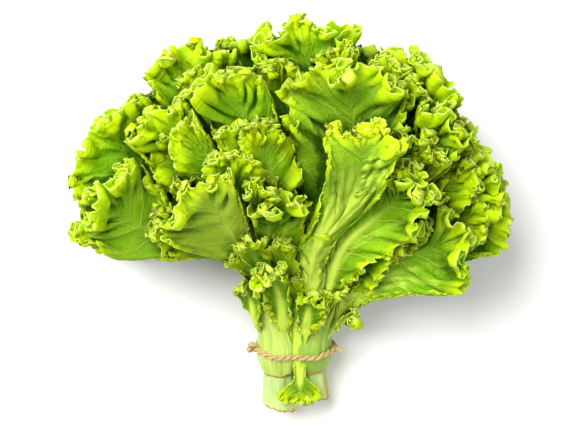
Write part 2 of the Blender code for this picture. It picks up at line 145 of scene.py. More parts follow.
room = bpy.data.worlds.new("room")
room.use_nodes = True
room.node_tree.nodes["Background"].inputs["Color"].default_value = ROOM_COLOUR
room.node_tree.nodes["Background"].inputs["Strength"].default_value = ROOM_BRIGHTNESS
bpy.context.scene.world = room
print("lamps:", ", ".join(LAMPS))

# %% [markdown]
# ## A map of directions
# Thirty-six leaves leave two stems, run through a tie and fan out. Placed one by one they would
# run through each other. So they share a map: a side angle, a rise angle and a station along the
# leaf give one point, and two different places on the map never give the same point. A leaf that
# keeps to its own patch of the map can't touch its neighbours.

# %% Draw the map
STEM_TILT, STEM_HALF_SPACING = 12, 10
# Radius of the stems' core at stations along them.
CORE = (
    (-45, 13.2), (-20, 12.2), (0, 9.7), (20, 9.0), (30, 8.3), (36, 6.8), (46, 4.0), (62, 1.2), (80, 0),
)
CORE_SHARE, CORE_CORNER = 0.4, 0.12
SHEATH = 4.8
SIDE_SPREAD = 72
MIDDLE_RISE, RISE_SPREAD = 20, 30
FAN_DELAY, FAN_START = 6, 45
LEFT_HOLD, LEFT_HOLD_RUN = 0.5, (50, 110)


def eased(x, start, run):
    """0 up to start and 1 from a run later on, smooth in between."""
    x = np.clip((x - start) / run, 0, 1)
    return x * x * (3 - 2 * x)


def core_radius(station):
    """The room that the stems take inside the leaves."""
    stations, radii = zip(*CORE)
    return np.interp(station, stations, radii)


def tilted(x, along, z):
    """A point beside the stems, given along them and at right angles to them."""
    c, s = math.cos(math.radians(STEM_TILT)), math.sin(math.radians(STEM_TILT))
    return np.stack([x, along * c - z * s, TIE_HEIGHT + along * s + z * c], axis=-1)


def from_core(side, rise):
    """A place along the core from stem to stem, and how far out of it sideways and upwards."""
    a, b = side / SIDE_SPREAD, (rise - MIDDLE_RISE) / RISE_SPREAD
    along_core = np.clip(a, -CORE_SHARE, CORE_SHARE)
    return along_core, (a - along_core) / (1 - CORE_SHARE), b


def place(side, rise, station):
    along_core, out_x, out_z = from_core(side, rise)
    out = np.hypot(out_x, out_z) + 1e-4
    radius = core_radius(station) * np.tanh(out / CORE_CORNER) + SHEATH * out
    x = STEM_HALF_SPACING * along_core / CORE_SHARE + out_x / out * radius
    z = out_z / out * radius
    past = np.maximum(station - FAN_DELAY, 0)
    run = past * past / (past + FAN_START)
    held = np.where(side < 0, LEFT_HOLD * (1 - eased(station, *LEFT_HOLD_RUN)), 0)
    side_r, rise_r = np.radians(side * (1 - held)), np.radians(rise)
    away = np.stack([
        np.sin(side_r) * np.cos(rise_r),
        np.cos(side_r) * np.cos(rise_r),
        np.sin(rise_r) * np.ones_like(side_r),
    ], axis=-1)
    return settle(sway(tilted(x, station - run, z) + run[..., None] * away))


print("map drawn")

# %% [markdown]
# ## Slow bends, the table and the top
# No leaf in the bunch is quite straight, and the lowest ones are pressed flat by the table. Both
# are bends of space itself: every leaf passes through the same bend, so neighbours still miss
# each other, and nothing sinks into the table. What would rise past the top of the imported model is
# pressed softly back under it.

# %% Bend the map
# (axis moved, distance, runs over x, y and z, lag), where a run of 0 is none.
SWAY = (
    (0, 5.5, (0, 31, 43), 0.8), (0, 3, (0, 37, 19), 0), (1, 4.5, (35, 0, -38), 2.1),
    (2, 6.5, (33, 47, 0), 0.4), (2, 3, (-29, 23, 0), 1.7),
)
SWAY_RUN = (45, 80)
TABLE_SOFTNESS = 10
TOP = cad_box[1][2] / MM - ORIGIN[2] / MM
TOP_SOFTNESS, TOP_EXTRA = 12, 1.5


def sway(points):
    grip = eased(np.linalg.norm(points, axis=-1), *SWAY_RUN)
    moved = points.copy()
    for axis, distance, runs, lag in SWAY:
        turn = lag + sum(points[..., k] / run for k, run in enumerate(runs) if run)
        moved[..., axis] += grip * distance * np.sin(turn)
    return moved


def settle(points):
    z = points[..., 2]
    low = TABLE_SOFTNESS * np.exp(np.minimum(z - TABLE_SOFTNESS, 0) / TABLE_SOFTNESS)
    pressed = np.where(z < TABLE_SOFTNESS, low, z)
    return np.concatenate([points[..., :2], pressed[..., None]], axis=-1)


def under_top(points):
    start = TOP - TOP_SOFTNESS
    over = np.maximum(points[:, 2] - start, 0)
    limit = TOP_SOFTNESS + TOP_EXTRA
    pressed = np.minimum(points[:, 2], start) + over / (1 + (over / limit) ** 3) ** (1 / 3)
    return np.column_stack([points[:, :2], pressed])


print("a point halfway up the middle:", place(np.array([0]), np.array([20]), np.array([100])).round(1))

# %% [markdown]
# ## The leaves of this bunch
# Each leaf is an entry in a table: where it points, how far its tip comes, how wide it is and how
# many slow waves its margin has. Four layers of much the same leaves make the dome, and the lowest
# turn their faces down. The others are leaves that a visitor would point at: the one with the
# broad pale stalk in the middle, the one with bright veins on the right, the folded one on the left.

# %% List the leaves
FIRST_START, LAST_START = 6, 39


def leaf(side, rise, reach, half_width=50, waves=10, **more):
    usual = {
        "room": 0, "tip_bend": 2, "bow": 0, "fan": 0, "face_down": False, "stalk": 6, "furthest": 78,
        "start": None, "calm": 0,
    }
    own = {"side": side, "rise": rise, "reach": reach, "half_width": half_width, "waves": waves}
    return {**own, **usual, **more}


# The layers that make the dome: rise, then side and reach of each leaf.
LAYERS = {
    "low": (-5, ((-58, 172), (-35, 206), (-10, 213), (14, 207), (37, 198), (60, 182))),
    "side": (4, ((-47, 192), (-23, 208), (2, 214), (26, 203), (50, 190))),
    "mid": (13, ((-59, 180), (-36, 208), (-12, 221), (13, 207), (37, 196), (61, 192))),
    "broad": (22, ((-48, 217), (-22, 225), (3, 232), (26, 216), (50, 192))),
}
OWN_WAYS = {
    "low_3": {"start": -10}, "low_4": {"start": -13}, "side_2": {"waves": 8}, "side_3": {"waves": 8},
    "side_4": {"waves": 8}, "broad_1": {"half_width": 56, "waves": 12},
}
LEAVES = {}
for layer, (rise, places) in LAYERS.items():
    shared = {"waves": 8, "face_down": True} if layer == "low" else {}
    for number, (side, reach) in enumerate(places, 1):
        name = "%s_%d" % (layer, number)
        LEAVES["leaf_" + name] = leaf(side, rise, reach, **shared, **OWN_WAYS.get(name, {}))
LEAVES.update({
    "leaf_left": leaf(-64, 32, 200, 50, room=120, bow=4, stalk=9, start=-19),
    "leaf_inner_1": leaf(-37, 31, 206),
    "leaf_inner_2": leaf(-14, 31, 214, calm=0.35),
    "leaf_centre": leaf(12, 33, 216, 52, 12, room=200, bow=8, stalk=7.5),
    "leaf_inner_3": leaf(36, 32, 205, 46, calm=0.35),
    "leaf_right": leaf(70, 33, 166, 64, 12, room=300, fan=1, furthest=100, start=-12, calm=0.65),
    "leaf_folded": leaf(-37, 43, 168, 60, 12, room=60, fan=1, start=-6, calm=0.65),
    "leaf_front_1": leaf(-14, 44, 138, 32, start=-9),
    "leaf_front_2": leaf(40, 45, 176, 30, start=-7),
    "leaf_small_1": leaf(-92, 46, 64, 24, 8, furthest=125, calm=0.65),
    "leaf_small_2": leaf(-22, 62, 84, 24, 8),
    "leaf_small_3": leaf(20, 64, 54, 22, 8),
    "leaf_small_4": leaf(100, 36, 58, 22, 8, furthest=140, calm=0.65),
    "leaf_base": leaf(9, 49, -35, 20, 8, start=7),
})


def leaf_start(this):
    """The station where a leaf grows from its stem: outer leaves lowest, inner ones at the crown."""
    if this["start"] is not None:
        return this["start"]
    _, out_x, out_z = from_core(this["side"], this["rise"])
    share = min(1, max(0, math.hypot(out_x, out_z) - 0.2) / 0.8)
    return LAST_START - (LAST_START - FIRST_START) * share


def leaf_seed(name):
    return 1 + 1.7 * list(LEAVES).index(name)


print("leaves:", len(LEAVES))

# %% [markdown]
# ## A cell for each leaf
# On the map each leaf is a point, and the halfway lines between points are walls, as between the
# fields of neighbours. A wall is a direction and a distance, so the room left in any direction is
# one division. A neighbour that starts higher up the stem sets its wall only from there on.

# %% Build the cells
SIDE_SCALE, RISE_SCALE = 0.87, 2.6
LOWEST_RISE, HIGHEST_RISE = -10, 80
TIED_REACH, TIE_LENGTH, TIE_WALLS = 1.15, 10, 12
ALWAYS = 1000


def label(side, rise):
    return np.array([side * SIDE_SCALE, rise * RISE_SCALE])


def tie_walls():
    """Normals and offsets of the walls that keep what passes under the twine close to the stems."""
    for k in range(TIE_WALLS):
        turn = 2 * math.pi * (k + 0.5) / TIE_WALLS
        c, s = math.cos(turn), math.sin(turn)
        normal = np.array([
            c / (SIDE_SPREAD * (1 - CORE_SHARE) * SIDE_SCALE), s / (RISE_SPREAD * RISE_SCALE),
        ])
        size = np.linalg.norm(normal)
        core = abs(c) * CORE_SHARE / (1 - CORE_SHARE) + s * MIDDLE_RISE / RISE_SPREAD
        yield normal / size, (TIED_REACH + core) / size


def walls(name):
    """A leaf's walls: normals, offsets, and the stations where they start and end."""
    this = LEAVES[name]
    here = label(this["side"], this["rise"])
    found = []
    for other, that in LEAVES.items():
        if other != name:
            there = label(that["side"], that["rise"])
            apart = np.linalg.norm(there - here)
            offset = (there @ there - that["room"] - here @ here + this["room"]) / (2 * apart)
            begins = leaf_start(that)
            span = (-ALWAYS, begins) if that["reach"] < begins else (begins, ALWAYS)
            found.append(((there - here) / apart, offset, *span))
    furthest = this["furthest"] * SIDE_SCALE
    for normal, offset in (
        ((0, -1), -LOWEST_RISE * RISE_SCALE), ((0, 1), HIGHEST_RISE * RISE_SCALE),
        ((-1, 0), furthest), ((1, 0), furthest),
    ):
        found.append((normal, offset, -ALWAYS, ALWAYS))
    if leaf_start(this) < 0 or this["reach"] < 0:
        found += [(normal, offset, -ALWAYS, TIE_LENGTH) for normal, offset in tie_walls()]
    return [np.array(column) for column in zip(*found)]


def grown(name):
    """A leaf of the table with its cell and its seed."""
    return {**LEAVES[name], "name": name, "cell": walls(name), "seed": leaf_seed(name)}


print("walls of the centre leaf:", len(walls("leaf_centre")[1]))

# %% [markdown]
# ## Moving about inside a cell
# The leaf's maker thinks in millimetres and the map in degrees. A small nudge along each of the
# map's three directions shows how they compare at any point, and from that any shift in
# millimetres can be turned into a change on the map, held softly inside the leaf's own cell.

# %% Measure room and take steps
NUDGE = 0.5
EDGE_GAP, SOFT_WALL = 1, 2.2
OPENING_LEAD, OPENING_RUN, OPENING_SLACK = 8, 22, 55


def fade(value, limit, power=4):
    """value, held softly within limit on its own side of zero."""
    ratio = np.abs(value) / np.maximum(limit, 1e-6)
    return value / (1 + ratio**power) ** (1 / power)


def room_along(cell, point, step, station):
    """How many steps each point can take before it meets a wall of the cell."""
    normals, offsets, starts, ends = cell
    waiting = eased(starts[None, :] - station[:, None], OPENING_LEAD, OPENING_RUN)
    gone = eased(station[:, None] - ends[None, :], 0, OPENING_RUN)
    left = offsets[None, :] + OPENING_SLACK * (waiting + gone) - point @ normals.T
    facing = step @ normals.T
    reach = np.where(facing > 1e-9, left / np.maximum(facing, 1e-9), 1e6)
    return np.maximum(reach.min(axis=1), 0)


def place_label(point, station):
    return place(point[:, 0] / SIDE_SCALE, point[:, 1] / RISE_SCALE, station)


def slopes(point, station):
    """How far each point moves as its label's two numbers and its station grow by one, in columns."""
    here = place_label(point, station)
    nudged = (
        place_label(point + (NUDGE, 0), station), place_label(point + (0, NUDGE), station),
        place_label(point, station + NUDGE),
    )
    return np.stack([moved - here for moved in nudged], axis=-1) / NUDGE


def label_step(point, station, sideways, upwards):
    """The label change that moves each point by that many millimetres sideways and upwards."""
    along_side, along_rise, _ = np.moveaxis(slopes(point, station), -1, 0)
    side_length = np.linalg.norm(along_side, axis=1)
    unit = along_side / side_length[:, None]
    lean = (along_rise * unit).sum(axis=1)
    rise_length = np.linalg.norm(along_rise - lean[:, None] * unit, axis=1)
    up = upwards / rise_length
    return np.stack([(sideways - lean * up) / side_length, up], axis=1)


def shifted(cell, point, station, shift):
    """Labels and stations after a shift in millimetres, each held softly inside the cell."""
    steady = slopes(point, station) + 1e-4 * np.eye(3)
    change = np.linalg.solve(steady, shift[..., None])[..., 0]
    length = np.linalg.norm(shift, axis=1)
    room = room_along(cell, point, change[:, :2], station) * length - EDGE_GAP
    share = fade(1, np.maximum(room, 0) / np.maximum(length, 1e-6), SOFT_WALL)
    return point + change[:, :2] * share[:, None], station + change[:, 2] * share


print("steps ready")

# %% [markdown]
# ## The form of a blade
# A lettuce leaf is a narrow stalk that opens into a broad blade. It is drawn from rows that run
# round the margin, from the stem by the tip and back, and step inwards to the rib, because the
# ruffles belong to the margin and the fold lines run from there to the rib.

# %% Outline, waves and facing
# (half width, length) as shares of the leaf's own, from the stem to the tip.
OUTLINE = (
    (0.16, 0), (0.13, 0.10), (0.19, 0.22), (0.46, 0.38), (0.80, 0.53), (1, 0.70), (1.02, 0.85),
    (0.74, 0.965), (0, 1),
)
FAN_OUTLINE = (
    (0.16, 0), (0.16, 0.08), (0.32, 0.18), (0.72, 0.32), (0.98, 0.48), (1.06, 0.66), (1.02, 0.83),
    (0.70, 0.955), (0, 1),
)
OUTLINE_SQUASH, OUTLINE_POINTS, OUTLINE_BLUR = (0.45, 1), 401, 43
WAVE_UNEVEN = ((1, 0.10, 1), (3, 0.07, 2.3), (5, 0.12, 1.1))
FACE_TURN = (8, 70)


def outline(share, fan):
    """(half width, length) shares of the blade's edge at a share of the way from stem to tip."""
    keys = np.array(OUTLINE) * (1 - fan) + np.array(FAN_OUTLINE) * fan
    steps = np.linalg.norm(np.diff(keys * OUTLINE_SQUASH, axis=0), axis=1)
    at = np.concatenate([[0], np.cumsum(steps)]) / steps.sum()
    dense = np.linspace(0, 1, OUTLINE_POINTS)
    kernel = np.hanning(OUTLINE_BLUR) / np.hanning(OUTLINE_BLUR).sum()
    found = []
    for k in (0, 1):
        line = np.interp(dense, at, keys[:, k])
        longer = np.pad(line, OUTLINE_BLUR // 2, mode="reflect", reflect_type="odd")
        found.append(np.interp(share, dense, np.convolve(longer, kernel, "valid")))
    return found


def wave_phase(way, waves, seed):
    """How many waves lie between the margin's start and a share of the way round it."""
    turn = 2 * math.pi * way
    drift = 0
    for times, amount, lag in WAVE_UNEVEN:
        drift += amount / times * (np.sin(times * turn + lag * seed) - math.sin(lag * seed))
    return waves * (way + drift / (2 * math.pi))


def face_angle(this, station):
    """Which way the outer side of a blade faces: away from the stem first, then to the sky."""
    _, out_x, out_z = from_core(this["side"], this["rise"])
    own = math.degrees(math.atan2(out_z, out_x))
    turn = ((-90 if this["face_down"] else 90) - own + 180) % 360 - 180
    return np.radians(own + turn * eased(station, *FACE_TURN))


print("widest share of a common leaf:", round(float(outline(np.linspace(0, 1, 50), 0)[0].max()), 2))

# %% [markdown]
# ## The blade in its cell
# The drawn blade is laid into its cell: each point goes sideways from the leaf's own line, then
# up or down with the slow waves, and both are eased off before a wall. The rib is thicker than
# the blade and stands out on the back of the leaf.

# %% Lay a blade into its cell
SIDE_GAP, SIDE_SHARE, CELL_GAP, ROOM_LIMIT, LEAST_ROOM = 2, 0.95, 1.15, 60, 0.5
STALK_TAPER, STALK_RUN, BLADE_OPENS = 0.35, 0.25, (0.15, 0.15)
BLADE_HALF, OUTER_SHARE, INNER_SHARE = 0.30, 0.36, 0.30
RIB_HEIGHT, RIB_HALF_WIDTH, RIB_ROW, RIB_FLARE, RIB_RUN = 2.6, 5.2, 0.12, 0.08, 0.95
ROW_POWER = 1.1
WAVE_HEIGHT, WAVE_REACH, WAVE_POWER, WAVE_GROWS = 12.5, 0.42, 1.3, (0.12, 0.45)
SWELL, SWELLS = 0.25, 2.3
FOOT_SHARE, FOOT_SLOPE = 0.90, 0.55
TIP_BEND_SHARE, CUPPING = 0.7, 0.10
SQUEEZE_CALM = 0.45
ROOT_LENGTH, ROOT_DEPTH = 16, 0.85


def leaf_length(this):
    return abs(this["reach"] - leaf_start(this))


def blade(this, way, row):
    """Labels, stations, half thicknesses (inner, outer) and flat places of a leaf's points.

    way runs round the margin, and row from the rib at 0 to the edge at 1.
    """
    half_width, seed, cell = this["half_width"], this["seed"], this["cell"]
    start, length = leaf_start(this), leaf_length(this)
    hand = np.where(way < 0.5, 1, -1)
    wide, far = outline(1 - np.abs(2 * way - 1), this["fan"])
    stalk = this["stalk"] * (1 - STALK_TAPER * eased(far, 0, STALK_RUN))
    edge_x = np.maximum(wide * half_width, stalk * (1 - eased(far, *BLADE_OPENS)))
    edge_y = far * length
    foot_y = np.maximum(FOOT_SHARE * edge_y - FOOT_SLOPE * np.maximum(edge_x - stalk, 0), 0)
    thinning = 1 - eased(foot_y / length, 0, RIB_RUN)
    rib = np.minimum(RIB_HALF_WIDTH * (0.15 + 0.85 * thinning), 0.62 * edge_x + 0.05)
    inner = np.clip(row / RIB_ROW, 0, 1)
    outer = np.clip((row - RIB_ROW) / (1 - RIB_ROW), 0, 1)
    x = rib * inner + (edge_x - rib) * outer
    y = foot_y + (edge_y - foot_y) * (RIB_FLARE * inner + (1 - RIB_FLARE) * outer**ROW_POWER)
    station = start + y * math.copysign(1, this["reach"] - start)

    ripple = np.sin(2 * math.pi * wave_phase(way, this["waves"], seed))
    swell = 1 - SWELL + SWELL * np.sin(2 * math.pi * way * SWELLS + seed)
    spread = eased(far, *WAVE_GROWS) * eased(row, WAVE_REACH, 1 - WAVE_REACH) ** WAVE_POWER
    wave = WAVE_HEIGHT * ripple * swell * spread
    near_tip = np.clip((y / length - TIP_BEND_SHARE) / (1 - TIP_BEND_SHARE), 0, 1)
    bend = this["tip_bend"] * near_tip**2 - CUPPING * half_width * (x / half_width) ** 2 * math.cos(seed)

    facing = face_angle(this, station)
    home = label(this["side"], this["rise"]) * np.ones((len(station), 1))
    step = label_step(home, station, np.sin(facing), -np.cos(facing))
    home += (this["bow"] * np.sin(math.pi * np.clip(y / length, 0, 1)))[:, None] * step
    step *= hand[:, None]
    side_room = SIDE_SHARE * np.maximum(room_along(cell, home, step, station) - SIDE_GAP, LEAST_ROOM)
    point = home + fade(x, side_room)[:, None] * step
    squeeze = 1 + (x / side_room) ** 4

    step = label_step(point, station, np.cos(facing), np.sin(facing))
    up_room = np.minimum(room_along(cell, point, step, station), ROOM_LIMIT) - CELL_GAP
    down_room = np.minimum(room_along(cell, point, -step, station), ROOM_LIMIT) - CELL_GAP
    span = np.maximum(up_room + down_room, LEAST_ROOM)
    ridge = RIB_HEIGHT * (0.25 + 0.75 * thinning) * (1 - eased(y / length, 0.8, 0.2))
    ridge *= 1 - inner**2 * (1 - 0.12 * thinning)
    outer_half = np.minimum(BLADE_HALF + ridge, OUTER_SHARE * span)
    inner_half = np.minimum(BLADE_HALF + 0.3 * ridge, INNER_SHARE * span)
    middle = 0.5 * (up_room - outer_half - down_room + inner_half)
    half_span = np.maximum(0.5 * (span - outer_half - inner_half), 0.02)
    lift = middle + fade(bend + wave * squeeze ** -this["calm"] - middle, half_span)
    point = point + lift[:, None] * step
    heart = label(np.clip(this["side"], -CORE_SHARE * SIDE_SPREAD, CORE_SHARE * SIDE_SPREAD), MIDDLE_RISE)
    rooted = ROOT_DEPTH * (1 - eased(y, 0, ROOT_LENGTH))
    point = point + (heart - point) * rooted[:, None]
    flat = np.stack([hand * x, y, far], axis=-1)
    margin = np.hypot(edge_x - x, 0.6 * (edge_y - y))
    return point, station, inner_half, outer_half, flat, margin, squeeze**-SQUEEZE_CALM


tried = blade(grown("leaf_centre"), np.linspace(0, 1, 9), np.ones(9))
print("stations tried on the centre leaf:", tried[1].round())

# %% [markdown]
# ## Rows of points
# A smooth ruffle needs a fine mesh, and a flat blade doesn't. So the rows are fine at the margin
# and halve their points on the way to the rib, where few are needed. They also crowd a little
# towards the tip, which is where the ruffles show most.

# %% Set out the rows and the triangles between them
TIP_GATHER, RIB_ROW_GATHER = 0.4, 1.25
# (row, how many of the margin's steps one step of the row spans)
ROWS = (
    (1, 1), (0.985, 1), (0.965, 1), (0.94, 1), (0.905, 2), (0.86, 2), (0.81, 2), (0.75, 2), (0.68, 4),
    (0.60, 4), (0.52, 4), (0.44, 4), (0.36, 8), (0.28, 8), (0.20, 8), (RIB_ROW, 8), (0.08, 8), (0.04, 8),
    (0, 8),
)


def leaf_rows(steps, coarsest):
    """way and row of each point, and the point numbers along each row, every coarsest-th at most."""
    even = np.linspace(0, 1, steps + 1)
    ways = even + TIP_GATHER / (2 * math.pi) * np.sin(2 * math.pi * even)
    way, row, rows = [], [], []
    count = 0
    for level, skip in ROWS:
        line = ways[:: min(skip, coarsest)]
        gather = 1 + (RIB_ROW_GATHER - 1) * eased(0.36 - level, 0, 0.24)
        near = 0.5 * (1 - np.abs(2 * line - 1)) ** gather
        line = np.where(line < 0.5, near, 1 - near)
        numbers = np.arange(len(line))
        if level == 0:
            numbers = np.minimum(numbers, numbers[::-1])
            line = line[: len(line) // 2 + 1]
        rows.append(count + numbers)
        way.append(line)
        row.append(np.full(len(line), float(level)))
        count += len(line)
    return np.concatenate(way), np.concatenate(row), rows


def row_triangles(rows):
    """Triangles between neighbouring rows, where the outer one has as many steps, or twice."""
    found = []
    for outer, inner in zip(rows, rows[1:]):
        a, b = inner[:-1], inner[1:]
        if len(outer) > len(inner):
            p, q, r = outer[0:-1:2], outer[1::2], outer[2::2]
            found += [(a, p, q), (a, q, b), (b, q, r)]
        else:
            p, q = outer[:-1], outer[1:]
            even = np.arange(len(a)) % 2 == 0
            found += [(a, p, np.where(even, b, q)), (b, np.where(even, p, a), q)]
    faces = np.concatenate([np.stack(f, axis=1) for f in found])
    same = (faces[:, 0] == faces[:, 1]) | (faces[:, 1] == faces[:, 2]) | (faces[:, 0] == faces[:, 2])
    return faces[~same]


def grid(steps, coarsest):
    way, row, rows = leaf_rows(steps, coarsest)
    return way, row, rows, row_triangles(rows)


FINE, COMMON, SMALL = grid(464, 2), grid(528, 8), grid(288, 8)
print("points in one leaf:", len(COMMON[0]))

# %% [markdown]
# ## Ruffles
# The margin of a frilled leaf is longer than the leaf has room for, so it buckles, and the
# buckles buckle again. The slowest wave is in the blade already. Four finer ones follow here, from
# folds that reach far down the blade to a crimp at its very edge. Each one pushes along the
# surface's own normal, and sways sideways twice as fast, which makes it overhang. Small teeth
# along the edge come last.

# %% Ruffle a leaf
# (wave length, height, lean to the sides, share of the blade where it starts, sharpness)
RUFFLES = (
    (24, 8.5, 2.4, 0.04, 0.75),
    (12, 6.4, 4.2, 0.42, 1.1),
    (5.8, 5, 2.9, 0.62, 0.9),
    (3, 1.3, 0.6, 0.84, 1),
)
RUFFLES_GROW, RUFFLES_UNEVEN = (0.14, 0.3), 0.28
TOOTH, TOOTH_LENGTH, TEETH_ROWS, TEETH_GROW = 1.5, 4.4, (0.93, 0.07), (0.2, 0.2)
FULL_RUFFLE_WIDTH = 44
MARGIN_LENGTH = 2.15
TOP_CALM, TOP_CALM_DEPTH = 0.75, 16


def normals_of(points, faces):
    """The surface's normal at each point, and whether it has one."""
    normals = np.zeros_like(points)
    corners = points[faces]
    turned = np.cross(corners[:, 1] - corners[:, 0], corners[:, 2] - corners[:, 0])
    for k in range(3):
        np.add.at(normals, faces[:, k], turned)
    length = np.linalg.norm(normals, axis=1, keepdims=True)
    return normals / np.maximum(length, 1e-9), length[:, 0] > 1e-9


def along_rows(points, rows):
    """The unit direction of each row at each of its points."""
    along = np.zeros_like(points)
    for numbers in rows[:-1]:
        along[numbers] = np.gradient(points[numbers], axis=0)
    return along / np.maximum(np.linalg.norm(along, axis=1, keepdims=True), 1e-9)


def ruffled(this, way, row, rows, faces):
    cell, seed = this["cell"], this["seed"]
    point, station, inner_half, outer_half, flat, margin, ease = blade(this, way, row)
    edge_length = MARGIN_LENGTH * leaf_length(this)
    size = min(1, this["half_width"] / FULL_RUFFLE_WIDTH) ** 0.7
    turn = 2 * math.pi * way
    for k, (length, height, lean, reach, power) in enumerate(RUFFLES):
        points = place_label(point, station)
        normal, _ = normals_of(points, faces)
        count = edge_length / length / size
        phase = turn * count + 2.2 * np.sin(turn * 7.3 + seed * 1.9 + k) + 1.4 * np.sin(turn * 3.1 + seed)
        phase = phase + 1.6 * (1 - row) * np.sin(turn * 5.7 + seed * 3.1 + 2 * k)
        swell = 1 - RUFFLES_UNEVEN + RUFFLES_UNEVEN * np.sin(turn * (5.3 + 4 * k) + seed * 2.7)
        grip = ease * eased(flat[:, 2], *RUFFLES_GROW) * eased(row, reach, 1 - reach) ** power
        grip = grip * (TOP_CALM + (1 - TOP_CALM) * eased(TOP - points[:, 2], 0, TOP_CALM_DEPTH))
        push = height * size * swell * grip * np.sin(phase)
        sideways = -lean * size * swell * grip * np.sin(2 * phase)
        shift = normal * push[:, None] + along_rows(points, rows) * sideways[:, None]
        point, station = shifted(cell, point, station, shift)
    points = place_label(point, station)
    normal, _ = normals_of(points, faces)
    outward = np.cross(along_rows(points, rows), normal)
    teeth = np.sin(turn * edge_length / TOOTH_LENGTH + 2 * np.sin(turn * 11 + seed))
    bite = TOOTH * size * teeth * eased(row, *TEETH_ROWS) * eased(flat[:, 2], *TEETH_GROW)
    point, station = shifted(cell, point, station, outward * bite[:, None])
    return under_top(place_label(point, station)), inner_half, outer_half, flat, margin


print("ruffle sizes:", [r[0] for r in RUFFLES])

# %% [markdown]
# ## Fingers of the rib
# On the broad leaves at the front the stalk doesn't stay in one piece. It splits into raised
# fingers that leave it at a low angle and reach up the blade, with dark grooves between them. They
# are solid, so they are added to the thickness of the leaf's back, and not painted on.

# %% Raise the fingers
# (how far out it ends as a share of the half width, where it leaves and ends along the blade, height)
FINGERS = {
    "leaf_centre": (
        (0.13, 0.10, 0.74, 1.9), (0.30, 0.20, 0.80, 1.8), (0.52, 0.30, 0.86, 1.5), (0.72, 0.46, 0.90, 0.9),
    ),
    "leaf_right": (
        (0.20, 0.08, 0.88, 1.7), (0.42, 0.10, 0.86, 1.9), (0.66, 0.14, 0.82, 1.8), (0.90, 0.18, 0.74, 1.5),
        (0.55, 0.40, 0.92, 1.2),
    ),
    "leaf_heart": (
        (0.14, 0.30, 0.90, 3.4), (0.34, 0.30, 0.92, 3.2), (0.60, 0.34, 0.92, 2.6), (0.82, 0.42, 0.94, 1.6),
    ),
}
for name in ("folded", "left", "inner_1", "inner_2", "inner_3", "front_1", "front_2"):
    FINGERS["leaf_" + name] = ((0.30, 0.16, 0.72, 0.9), (0.55, 0.30, 0.82, 0.7), (0.72, 0.44, 0.90, 0.5))
FINGER_WIDTH, FINGER_STAGGER = 1.9, 0.035
# (half width where it leaves the stem and at its end, share of the blade where it ends, height)
BROAD_STALKS = {
    "leaf_centre": (7, 13, 0.60, 3), "leaf_heart": (8.5, 15, 0.62, 4), "leaf_left": (7, 8, 0.34, 1.6),
    "leaf_right": (5, 7.5, 0.30, 1.6),
}


def fingers(this, flat):
    """Height of the fingers at each point, in millimetres."""
    height = np.zeros(len(flat))
    for out, low, high, tall in FINGERS.get(this["name"], ()):
        stagger = FINGER_STAGGER * np.sign(flat[:, 0])
        t = np.clip((flat[:, 1] / leaf_length(this) - low - stagger) / (high - low), 0, 1)
        away = (np.abs(flat[:, 0]) - out * this["half_width"] * t**1.5) / (FINGER_WIDTH * (1 - 0.45 * t))
        there = eased(t, 0, 0.08) * (1 - eased(t, 0.6, 0.4))
        height = np.maximum(height, tall * there * np.exp(-(away**2)))
    return height


def broad_stalk(this, flat):
    """How much each point belongs to a broad flat stalk, from 0 to 1, and the stalk's height."""
    if this["name"] not in BROAD_STALKS:
        return np.zeros(len(flat)), 0
    low, high, end, tall = BROAD_STALKS[this["name"]]
    along = flat[:, 1] / leaf_length(this)
    width = low + (high - low) * np.clip(along / end, 0, 1)
    across = np.clip(np.abs(flat[:, 0]) / width, 0, 1)
    return (1 - eased(across, 0.55, 0.45)) * (1 - eased(along, 0.7 * end, 0.6 * end)), tall


print("leaves with fingers:", len(FINGERS))

# %% [markdown]
# ## Skin the blade
# The surface gets two skins along its normals, joined round the edge, so every leaf is a closed
# solid, 0.6 mm thick. The stumps and the twine are stacks of rings with a cap on each
# open end. Each point also carries the facts that the paint needs.

# %% Close a form and hand it to Blender
def leaf_border(rows):
    return np.array([*rows[0], *[r[-1] for r in rows[1:]], *[r[0] for r in rows[-2:0:-1]]])


def sheet_border(rows):
    sides = [r[-1] for r in rows[1:-1]], [r[0] for r in rows[-2:0:-1]]
    return np.array([*rows[0], *sides[0], *rows[-1][::-1], *sides[1]])


def closed_skin(points, faces, inner_half, outer_half, border):
    normals, sound = normals_of(points, faces)
    count = len(points)
    numbers = np.arange(count)
    for k in range(3):
        normals[~sound, k] = np.interp(numbers[~sound], numbers[sound], normals[sound, k])
    outside = points + normals * outer_half[:, None]
    inside = points - normals * inner_half[:, None]
    after = np.roll(border, -1)
    skin = np.concatenate([
        faces,
        faces[:, ::-1] + count,
        np.stack([after, border, border + count], axis=1),
        np.stack([after, border + count, after + count], axis=1),
    ])
    return np.concatenate([outside, inside]), skin


def both_skins(facts):
    """The same facts for the outer skin's points and then for the inner one's."""
    return {key: np.concatenate([values, values]) for key, values in facts.items()}


def ring_faces(count, sides, closed=False):
    """Triangles of a stack of rings, with a cap on each end unless it closes on itself."""
    numbers = np.arange(count).reshape(-1, sides)
    a, b = (numbers, np.roll(numbers, -1, axis=0)) if closed else (numbers[:-1], numbers[1:])
    a2, b2 = np.roll(a, -1, axis=1), np.roll(b, -1, axis=1)
    faces = [np.stack(f, axis=-1).reshape(-1, 3) for f in ((a, b, b2), (a, b2, a2))]
    for ring, flip in () if closed else ((numbers[0], 1), (numbers[-1], -1)):
        faces.append(np.stack([np.full(sides - 2, ring[0]), ring[1:-1], ring[2:]], axis=1)[:, ::flip])
    return np.concatenate(faces)


